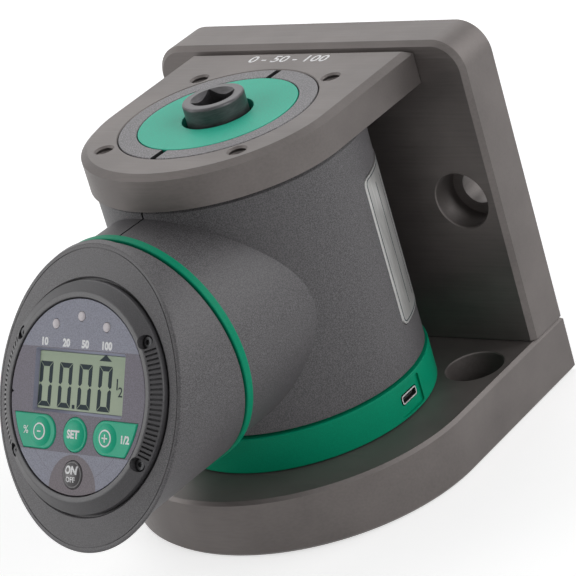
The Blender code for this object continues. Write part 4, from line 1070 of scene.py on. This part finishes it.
def rating_plate():
    """A brushed plate without words: a printed border and plain rules."""
    low = COLUMN_RADIUS - LABEL_POCKET_DEPTH + GAP
    high = low + LABEL_THICKNESS
    plate = true_normals(label_patch("rating_plate_silver", low, high, 0.0), about())
    dress(plate, HOUSING, LABEL, "housing", "silver_plate", "rating_plate")
    border = label_patch("rating_plate_border", high, high + PRINT_THICKNESS, -LABEL_BORDER_OUTER)
    cut(border, label_patch("inside", high - PAST, high + PAST, -LABEL_BORDER_INNER))
    true_normals(border, about())
    dress(border, HOUSING, DARK_INK, "housing", "black_plastic")
    rules = []
    half = LABEL_RULE_WIDTH / 2 / high
    for i in range(LABEL_RULE_COUNT):
        turn = LABEL_MIDDLE + (i - (LABEL_RULE_COUNT - 1) / 2) * LABEL_RULE_PITCH
        near = arc((0.0, 0.0), high, turn - half, turn + half, 1)
        far = arc((0.0, 0.0), high + PRINT_THICKNESS, turn + half, turn - half, 1)
        rules.append(slab("rule", near + far, LABEL_LOW_Z + LABEL_MARGIN, LABEL_HIGH_Z - LABEL_MARGIN))
    dress(joined("rating_plate_rules", rules), HOUSING, DARK_INK, "housing", "black_plastic")


def neck_ring():
    start = NECK_END + GAP
    end = start + RING_WIDTH
    hub = NECK_BORE_RADIUS - GAP
    profile = [(RING_INNER_RADIUS, start - RING_REAR_HUB), (hub, start - RING_REAR_HUB), (hub, start),
               (RING_RADIUS, start), (RING_RADIUS, end), (hub, end), (hub, end + RING_FRONT_HUB),
               (RING_INNER_RADIUS, end + RING_FRONT_HUB)]
    ring = true_normals(turned("neck_ring_green", eased(profile, RING_EASE)), about())
    dress(ring, NECK, GREEN, "housing", "green_plastic", "neck_ring")


# Head

def head_shell():
    """A tube whose front is cut off along the face plane."""
    below = -FACE_RIM_THICKNESS - GAP / 2
    inside = HEAD_START + HEAD_REAR_WALL

    def slope(radius):
        return [(x, y, FACE_DISTANCE + (below - y * sin(FACE_TILT)) / cos(FACE_TILT))
                for x, y in circle(radius, FINE)]

    shell = ringed("head_tube", [level_ring(NECK_BORE_RADIUS, HEAD_START),
                                 level_ring(HEAD_RADIUS - HEAD_EDGE, HEAD_START),
                                 level_ring(HEAD_RADIUS, HEAD_START + HEAD_EDGE), slope(HEAD_RADIUS),
                                 slope(HEAD_INNER_RADIUS), level_ring(HEAD_INNER_RADIUS, inside),
                                 level_ring(NECK_BORE_RADIUS, inside)])
    dress(smooth(shell), HEAD, GREY, "head", "grey_plastic", "head_shell")


def rim_distance(turn, height, inset=0.0):
    """Distance from the face's axis to the ring's outer wall, which is round about the head's axis."""
    a = cos(turn) ** 2 + (sin(turn) * cos(FACE_TILT)) ** 2
    b = 2 * sin(turn) * cos(FACE_TILT) * height * sin(FACE_TILT)
    c = (height * sin(FACE_TILT)) ** 2 - (FACE_RIM_RADIUS - inset) ** 2
    return (sqrt(b * b - 4 * a * c) - b) / (2 * a)


def crown(distance):
    share = (FACE_CROWN_REACH - distance) / (FACE_CROWN_REACH - FACE_BORE_RADIUS)
    return FACE_CROWN * min(1.0, max(0.0, share))


def rim_point(turn, inset, drop):
    """A point on the ring's crowned face, so far inside its rim and so far below its surface."""
    distance = FACE_RIM_RADIUS
    for _ in range(RIM_ROUNDS):
        distance = rim_distance(turn, crown(distance), inset)
    return (distance * cos(turn), distance * sin(turn), crown(distance) - drop)


def face_ring():
    """A crowned ring with a fine groove inside its rim."""
    turns = [2 * pi * i / FINE for i in range(FINE)]
    edge = FACE_EDGE
    halfway = edge * FACE_EDGE_SHARE
    groove, groove_end = FACE_GROOVE_INSET, FACE_GROOVE_INSET + FACE_GROOVE_WIDTH
    under = -FACE_RIM_THICKNESS
    foot = [(rim_distance(turn, under) * cos(turn), rim_distance(turn, under) * sin(turn), under)
            for turn in turns]

    def rim(inset, drop):
        return [rim_point(turn, inset, drop) for turn in turns]

    rings = [level_ring(FACE_LIP_RADIUS, under), foot, rim(0.0, edge), rim(halfway, halfway), rim(edge, 0.0),
             rim(groove, 0.0), rim(groove, FACE_GROOVE_DEPTH), rim(groove_end, FACE_GROOVE_DEPTH),
             rim(groove_end, 0.0), level_ring(FACE_BORE_RADIUS + edge, crown(FACE_BORE_RADIUS + edge)),
             level_ring(FACE_BORE_RADIUS, FACE_CROWN - edge), level_ring(FACE_BORE_RADIUS, FACE_LIP_TOP),
             level_ring(FACE_LIP_RADIUS, FACE_LIP_TOP)]
    ring = smooth(ringed("face_ring_grey", rings), 40)
    dress(ring, HEAD @ FACE_LOCAL, GREY, "head", "grey_plastic", "face_ring")


# Display

def grip_slots():
    slope = atan2(BEZEL_CONE_DROP, BEZEL_RADIUS - BEZEL_RING_RADIUS)
    middle = (GRIP_SLOT_INNER + GRIP_SLOT_OUTER) / 2
    height = BEZEL_TOP - tan(slope) * (middle - BEZEL_RING_RADIUS)
    length = (GRIP_SLOT_OUTER - GRIP_SLOT_INNER) / cos(slope)
    bm = bmesh.new()
    for side in (0.0, pi):
        for i in range(GRIP_SLOT_COUNT):
            turn = side - GRIP_HALF_ANGLE + 2 * GRIP_HALF_ANGLE * i / (GRIP_SLOT_COUNT - 1)
            spot = (Matrix.Rotation(turn, 4, "Z") @ at(middle, 0, height)
                    @ Matrix.Rotation(slope, 4, "Y")
                    @ Matrix.Diagonal((length, GRIP_SLOT_WIDTH, 2 * GRIP_SLOT_DEPTH, 1.0)))
            bmesh.ops.create_cube(bm, size=1.0, matrix=spot)
    return finish(bm, "grip_slots")


def screw_places():
    turns = [SCREW_ANGLE, pi - SCREW_ANGLE, pi + SCREW_ANGLE, -SCREW_ANGLE]
    return [(SCREW_CIRCLE * cos(turn), SCREW_CIRCLE * sin(turn)) for turn in turns]


def bezel():
    profile = [(BEZEL_INNER_RADIUS, BEZEL_LOW), (BEZEL_RADIUS, BEZEL_LOW),
               (BEZEL_RADIUS, BEZEL_TOP - BEZEL_CONE_DROP), (BEZEL_RING_RADIUS, BEZEL_TOP),
               (WINDOW_RADIUS, BEZEL_TOP), (WINDOW_RADIUS, BEZEL_LEDGE), (BEZEL_INNER_RADIUS, BEZEL_LEDGE)]
    ring = cut(turned("bezel_ring", eased(profile, BEZEL_EASE)), grip_slots())
    bore, floor, end = SCREW_SHANK_RADIUS + GAP, SCREW_FLOOR - BEZEL_TOP, -BEZEL_TOP - PAST
    hole = [(0, PAST), (SCREW_COUNTERBORE, PAST), (SCREW_COUNTERBORE, floor), (bore, floor), (bore, end),
            (0, end)]
    axes = []
    for x, y in screw_places():
        spot = at(x, y, BEZEL_TOP)
        cut(ring, moved(turned("hole", hole, SMALL), spot))
        axes.append(about(spot, SCREW_COUNTERBORE + SEAM, True))
    true_normals(ring, *axes, about())
    dress(ring, DISPLAY, BEZEL_GREY, "display", "grey_plastic", "bezel")


def bezel_screws():
    seat = SCREW_FLOOR + GAP
    tip = -seat - SCREW_REACH
    profile = [(0, tip), (SCREW_SHANK_RADIUS, tip), (SCREW_SHANK_RADIUS, 0), (SCREW_HEAD_RADIUS, 0),
               (SCREW_HEAD_RADIUS, SCREW_HEAD_HEIGHT), (0, SCREW_HEAD_HEIGHT)]
    hexagon = circle(SCREW_SOCKET_WIDTH / sqrt(3), 6)
    for i, (x, y) in enumerate(screw_places()):
        screw = turned(f"face_screw_{i + 1}", eased(profile, SCREW_EASE), SMALL)
        cut(screw, slab("socket", hexagon, SCREW_HEAD_HEIGHT - SCREW_SOCKET_DEPTH, SCREW_HEAD_HEIGHT + PAST))
        true_normals(screw, about())
        spot = DISPLAY @ at(x, y, seat)
        dress(screw, spot, SCREW_STEEL, "display", "blackened_steel", f"bezel_screw_{i + 1}")


def side_key(side):
    """Outline by inset of a round key that runs on to the panel's edge; side is -1 on the left."""
    def outline(inset):
        radius, reach = KEY_RADIUS - inset, KEY_REACH - inset
        inner = arc((KEY_SIDE_X, KEY_ROW_Y), radius, 1.5 * pi, 0.5 * pi, KEY_FACETS // 2)
        ends = [asin((KEY_ROW_Y + radius) / reach), asin((KEY_ROW_Y - radius) / reach)]
        return [(side * x, y) for x, y in inner + arc((0.0, 0.0), reach, *ends, KEY_FACETS // 4)]
    return outline


def round_key(centre, radius):
    return lambda inset: circle(radius - inset, KEY_FACETS, centre)


MINUS_CENTRE = (-KEY_SIDE_X - MINUS_DOME_SHIFT, KEY_ROW_Y)
PLUS_CENTRE = (KEY_SIDE_X + PLUS_DOME_SHIFT, KEY_ROW_Y)
MODE_CENTRE = (PANEL_CENTRE_X, KEY_ROW_Y)
CLEAR_CENTRE = (PANEL_CENTRE_X, CLEAR_KEY_Y)

# Each key's body, outline, dome centre and dome radius
KEYS = {
    "key_minus": ("minus_key", side_key(-1), MINUS_CENTRE, DOME_RADIUS),
    "key_plus": ("plus_key", side_key(1), PLUS_CENTRE, DOME_RADIUS),
    "key_mode": ("mode_key", round_key(MODE_CENTRE, KEY_RADIUS), MODE_CENTRE, DOME_RADIUS),
    "key_clear": ("clear_key", round_key(CLEAR_CENTRE, CLEAR_KEY_RADIUS), CLEAR_CENTRE, CLEAR_DOME_RADIUS),
}


def light_places():
    turns = (-LIGHT_SPREAD, 0.0, LIGHT_SPREAD)
    return [(LIGHT_CIRCLE * sin(turn), LIGHT_CIRCLE * cos(turn)) for turn in turns]


def front_panel():
    radius = WINDOW_RADIUS - GAP
    rim, top = circle(radius, FINE), circle(radius - PANEL_EDGE, FINE)
    panel = prism("panel_film_plate", [(rim, PANEL_LOW), (rim, PANEL_TOP - PANEL_EDGE), (top, PANEL_TOP)])
    wide = rounded_box(LCD_CENTRE, LCD_WIDTH, LCD_HEIGHT, LCD_DRAFT)
    narrow = rounded_box(LCD_CENTRE, LCD_WIDTH - 2 * LCD_DRAFT, LCD_HEIGHT - 2 * LCD_DRAFT, LCD_DRAFT / 2)
    cut(panel, prism("opening", [(narrow, PANEL_LOW - PAST), (narrow, LCD_TOP - PANEL_EDGE),
                                 (wide, PANEL_TOP), (wide, PANEL_TOP + PAST)]))
    holes = [circle(LIGHT_RADIUS + GAP / 2, SMALL, spot) for spot in light_places()]
    holes += [outline(-GAP / 2) for _, outline, _, _ in KEYS.values()]
    holes.append([(-radius - PANEL_NOTCH, PANEL_NOTCH), (-radius - PANEL_NOTCH, -PANEL_NOTCH),
                  (PANEL_NOTCH - radius, 0.0)])
    for hole in holes:
        cut(panel, slab("hole", hole, PANEL_LOW - PAST, PANEL_TOP + PAST))
    true_normals(panel, about(reach=WINDOW_RADIUS))
    dress(panel, DISPLAY, FILM, "display", "panel_film", "front_panel")
    # The opening's sloped walls take a lighter lilac grey: painted light on film of the panel's own colour
    panel.data.materials.append(WINDOW_BEVEL_PAINTED_LIGHT)
    for face in panel.data.polygons:
        beside = face.center.x - LCD_CENTRE[0], face.center.y - LCD_CENTRE[1]
        inside = abs(beside[0]) < LCD_WIDTH / 2 and abs(beside[1]) < LCD_HEIGHT / 2
        face.material_index = int(inside and face.center.z > LCD_SHELF and face.normal.z < UPWARD)


def dome(x, y, centre, radius):
    """Height of a key's dome at a point."""
    share = hypot(x - centre[0], y - centre[1]) / radius
    return DOME_HEIGHT * (1 - share ** DOME_POWER) if share < 1.0 else 0.0


def keys():
    top = PANEL_TOP + KEY_RISE
    for name, (body, outline, centre, radius) in KEYS.items():
        foot = outline(0.0)
        key = prism(name + "_cap", [(foot, KEY_LOW), (foot, top - KEY_EDGE), (outline(KEY_EDGE), top)])
        bulge = [(0, top - 2 * KEY_EDGE), (radius, top - 2 * KEY_EDGE)]
        for i in range(DOME_STEPS):
            share = 1 - i / DOME_STEPS
            bulge.append((radius * share, top + DOME_HEIGHT * (1 - share ** DOME_POWER)))
        bulge.append((0, top + DOME_HEIGHT))
        spot = at(*centre, 0)
        combine(key, moved(turned("bulge", bulge, ROUND), spot), "UNION")
        true_normals(key, about(spot, radius + SEAM))
        plastic, slot = (KEY_DARK, "black_plastic") if name == "key_clear" else (KEY_GREEN, "green_plastic")
        dress(key, DISPLAY, plastic, body, slot, name)


def status_lights():
    low, high = PANEL_LOW - LIGHT_DEPTH, PANEL_TOP + LIGHT_PROUD
    lens = [(0, low), (LIGHT_RADIUS, low), (LIGHT_RADIUS, high)]
    for k in range(1, LIGHT_STEPS):
        turn = k * pi / 2 / LIGHT_STEPS
        lens.append((LIGHT_RADIUS * cos(turn), high + LIGHT_DOME * sin(turn)))
    lens.append((0, high + LIGHT_DOME))
    for i, (x, y) in enumerate(light_places()):
        light = smooth(turned(f"light_{i + 1}", lens, SMALL), 40)
        spot = DISPLAY @ at(x, y, 0)
        dress(light, spot, LENS, "display", "light_lens", f"status_light_{i + 1}")


def flat_shapes(name, shapes, height):
    """Thin printed shapes from lists of (x, y) points."""
    return joined(name, [slab(name, shape, height, height + PRINT_THICKNESS) for shape in shapes])


def digit_shapes(left, foot):
    """The six outer segments of a nought."""
    wide, high, stroke, gap = DIGIT_WIDTH, DIGIT_HEIGHT, DIGIT_STROKE, DIGIT_BREAK
    middle = high / 2
    half = [
        [(gap, high), (wide - gap, high), (wide - stroke - gap, high - stroke),
         (stroke + gap, high - stroke)],
        [(0, high - gap), (stroke, high - stroke - gap), (stroke, middle + stroke / 2 + gap),
         (stroke / 2, middle + gap), (0, middle + gap + stroke / 4)],
        [(wide, high - gap), (wide - stroke, high - stroke - gap), (wide - stroke, middle + stroke / 2 + gap),
         (wide - stroke / 2, middle + gap), (wide, middle + gap + stroke / 4)],
    ]
    shapes = half + [[(x, high - y) for x, y in shape] for shape in half]
    return [[(left + x + DIGIT_LEAN * y, foot + y) for x, y in shape] for shape in shapes]


def lcd_module():
    outline = rounded_box(LCD_CENTRE, LCD_WIDTH + LCD_MARGIN, LCD_HEIGHT + LCD_MARGIN, LCD_CORNER)
    reach = 2 * (LCD_DRAFT + GAP / 2)
    window = rounded_box(LCD_CENTRE, LCD_WIDTH - reach, LCD_HEIGHT - reach, LCD_DRAFT / 2)
    levels = [(outline, 0.0), (outline, LCD_SHELF), (window, LCD_SHELF), (window, LCD_TOP)]
    glass = smooth(prism("lcd_glass_plate", levels))
    dress(glass, DISPLAY, LCD, "display", "lcd_glass", "lcd_module")
    shapes = []
    for i in range(DIGIT_COUNT):
        shapes += digit_shapes(FIRST_DIGIT_X + i * DIGIT_PITCH, DIGIT_FOOT_Y)
    point_x = FIRST_DIGIT_X + 2 * DIGIT_PITCH - (DIGIT_PITCH - DIGIT_WIDTH) / 2
    left, right, top = point_x - POINT_SIDE / 2, point_x + POINT_SIDE / 2, DIGIT_FOOT_Y + POINT_SIDE
    shapes += [[(left, DIGIT_FOOT_Y), (right, DIGIT_FOOT_Y), (right, top), (left, top)], POINTER]
    dress(flat_shapes("lcd_segments", shapes, LCD_TOP), DISPLAY, DARK_INK, "display", "black_plastic")
    small = [lettering("small_number", number, size, place, LCD_TOP, weight=0.01)
             for number, size, place in SMALL_NUMBERS]
    dress(joined("lcd_small_numbers", small), DISPLAY, DARK_INK, "display", "black_plastic")


def sign_ring(centre, low):
    """The printed ring round a minus or plus sign."""
    outer, inner = circle(SIGN_RADIUS, SMALL, centre), circle(SIGN_RADIUS - SIGN_STROKE, SMALL, centre)
    high = low + PRINT_THICKNESS
    levels = ((outer, low), (outer, high), (inner, high), (inner, low))
    return ringed("mark", [lifted(*level) for level in levels])


def bar(centre, width, height, level):
    outline = rounded_box(centre, width, height, min(width, height) / 4, 2)
    return slab("mark", outline, level, level + PRINT_THICKNESS)


def key_marks(name, centre, level):
    """A key's own marks, still flat."""
    if name == "key_mode":
        return [lettering("mark", "SET", SET_SIZE, centre, level, BOLD)]
    if name == "key_clear":
        x, y = centre
        return [lettering("mark", "ON", ON_SIZE, (x, y + ON_RISE), level, BOLD),
                lettering("mark", "OFF", OFF_SIZE, (x, y - OFF_DROP), level, weight=0.015)]
    if name == "key_minus":
        return [sign_ring(centre, level), bar(centre, MINUS_LENGTH, SIGN_STROKE, level),
                lettering("mark", "%", PERCENT_SIZE, (PERCENT_X, KEY_ROW_Y), level, weight=0.008)]
    return [sign_ring(centre, level), bar(centre, PLUS_LENGTH, SIGN_STROKE, level),
            bar(centre, SIGN_STROKE, PLUS_LENGTH, level),
            lettering("mark", "1/2", HALF_SIZE, (HALF_X, KEY_ROW_Y), level, BOLD)]


def prints():
    """White print: numbers over the display, and the keys' own marks on their domes."""
    words = [lettering("number", word, STEP_SIZE, (x, STEP_Y), PANEL_TOP, weight=0.055)
             for word, x in STEP_PLACES.items()]
    dress(joined("step_numbers", words), DISPLAY, WHITE_INK, "display", "light_lens")
    for name, (body, _, centre, radius) in KEYS.items():
        printed = joined(name + "_marks", key_marks(name, centre, PANEL_TOP + KEY_RISE))
        laid_on(printed, lambda x, y: dome(x, y, centre, radius))
        dress(printed, DISPLAY, WHITE_INK, body, "light_lens")


def carried_over():
    """Materials for the nodes that stay as they are."""
    finishes = {"display_cup": BLACK, "display_board": BOARD, "socket_tongue": BLACK, "socket_board": BLACK}
    for group, count in (("plate_screw", 3), ("shaft_screw", 4), ("top_screw", 2)):
        finishes.update({f"{group}_{i + 1}": SCREW_STEEL for i in range(count)})
    for name, finish_material in finishes.items():
        mesh = frame["nodes"][name].data
        mesh.materials.clear()
        mesh.materials.append(finish_material)


# Stage, lamps and camera

FLOOR_SIZE = 8.0
FLOOR_TOP = -0.0002
FLOOR_UNDERSIDE = -0.011
FLOOR_GLOW = 0.57
AMBIENT = 0.14
LAMP_TARGET = Vector((0.0, 0.0, 0.06))

# Name, place, width and watts of each lamp
LAMPS = (
    ("above", Vector((-0.55, 0.62, 1.05)), 1.2, 5.0),
    ("left", Vector((-1.15, -0.75, 0.55)), 1.1, 8.7),
    ("right", Vector((1.35, -0.15, 0.5)), 0.9, 5.7),
    ("right_rear", Vector((1.0, 0.9, 0.75)), 1.3, 8.2),
)


def seen_directly(tree):
    """1 for rays from the camera, or by way of gloss or glass, and otherwise 0."""
    path = node(tree, "LightPath").outputs
    either = calc(tree, "MAXIMUM", path["Is Camera Ray"], path["Is Glossy Ray"])
    return calc(tree, "MAXIMUM", either, path["Is Transmission Ray"])


def stage():
    """A floor that keeps the object's shadow and shows as white."""
    floor = block("floor", (-FLOOR_SIZE, -FLOOR_SIZE, FLOOR_UNDERSIDE), (FLOOR_SIZE, FLOOR_SIZE, FLOOR_TOP))
    made = new_material("pale_floor", (0.8, 0.8, 0.8), 0.9, 0.0, 0.0)
    tree = made.node_tree
    shader = tree.nodes["Principled BSDF"]
    strength = calc(tree, "MULTIPLY", seen_directly(tree), FLOOR_GLOW)
    glow = node(tree, "Emission", {"Color": (1, 1, 1, 1), "Strength": strength})
    both = node(tree, "AddShader")
    tree.links.new(shader.outputs["BSDF"], both.inputs[0])
    tree.links.new(glow.outputs["Emission"], both.inputs[1])
    tree.links.new(both.outputs["Shader"], tree.nodes["Material Output"].inputs["Surface"])
    floor.data.materials.append(made)


def sky():
    world = bpy.data.worlds.new("studio")
    world.use_nodes = True
    bpy.context.scene.world = world
    tree = world.node_tree
    background = tree.nodes["Background"]
    background.inputs["Color"].default_value = (1.0, 1.0, 1.0, 1.0)
    strength = node(tree, "MapRange", {"Value": seen_directly(tree), "To Min": AMBIENT, "To Max": 1.0})
    tree.links.new(strength.outputs["Result"], background.inputs["Strength"])


def lamps():
    for name, place, size, watts in LAMPS:
        light = bpy.data.lights.new(name, "AREA")
        light.shape = "DISK"
        light.size = size
        light.energy = watts
        made = add(name, light)
        made.location = place
        made.rotation_mode = "QUATERNION"
        made.rotation_quaternion = (LAMP_TARGET - place).to_track_quat("-Z", "Y")


def camera():
    back = Vector((sin(CAMERA_AZIMUTH) * cos(CAMERA_ELEVATION), -cos(CAMERA_AZIMUTH) * cos(CAMERA_ELEVATION),
                   sin(CAMERA_ELEVATION)))
    made = add("camera", bpy.data.cameras.new("camera"))
    made.data.lens = CAMERA_LENS
    made.data.sensor_width = CAMERA_SENSOR
    made.data.clip_start = CLIP_NEAR
    made.data.clip_end = CLIP_FAR
    made.location = CAMERA_TARGET + back * CAMERA_DISTANCE
    made.rotation_mode = "QUATERNION"
    made.rotation_quaternion = (-back).to_track_quat("-Z", "Y") @ Quaternion((0, 0, 1), CAMERA_ROLL)
    bpy.context.scene.camera = made


def main():
    for make in (bottom_plate, back_plate, top_plate, measuring_shaft, base_band, housing_halves, top_disc,
                 rating_plate, neck_ring, head_shell, face_ring, bezel, bezel_screws, front_panel, lcd_module,
                 keys, status_lights, prints, carried_over, stage, sky, lamps, camera):
        make()
    bpy.context.scene.view_settings.view_transform = "Standard"


main()
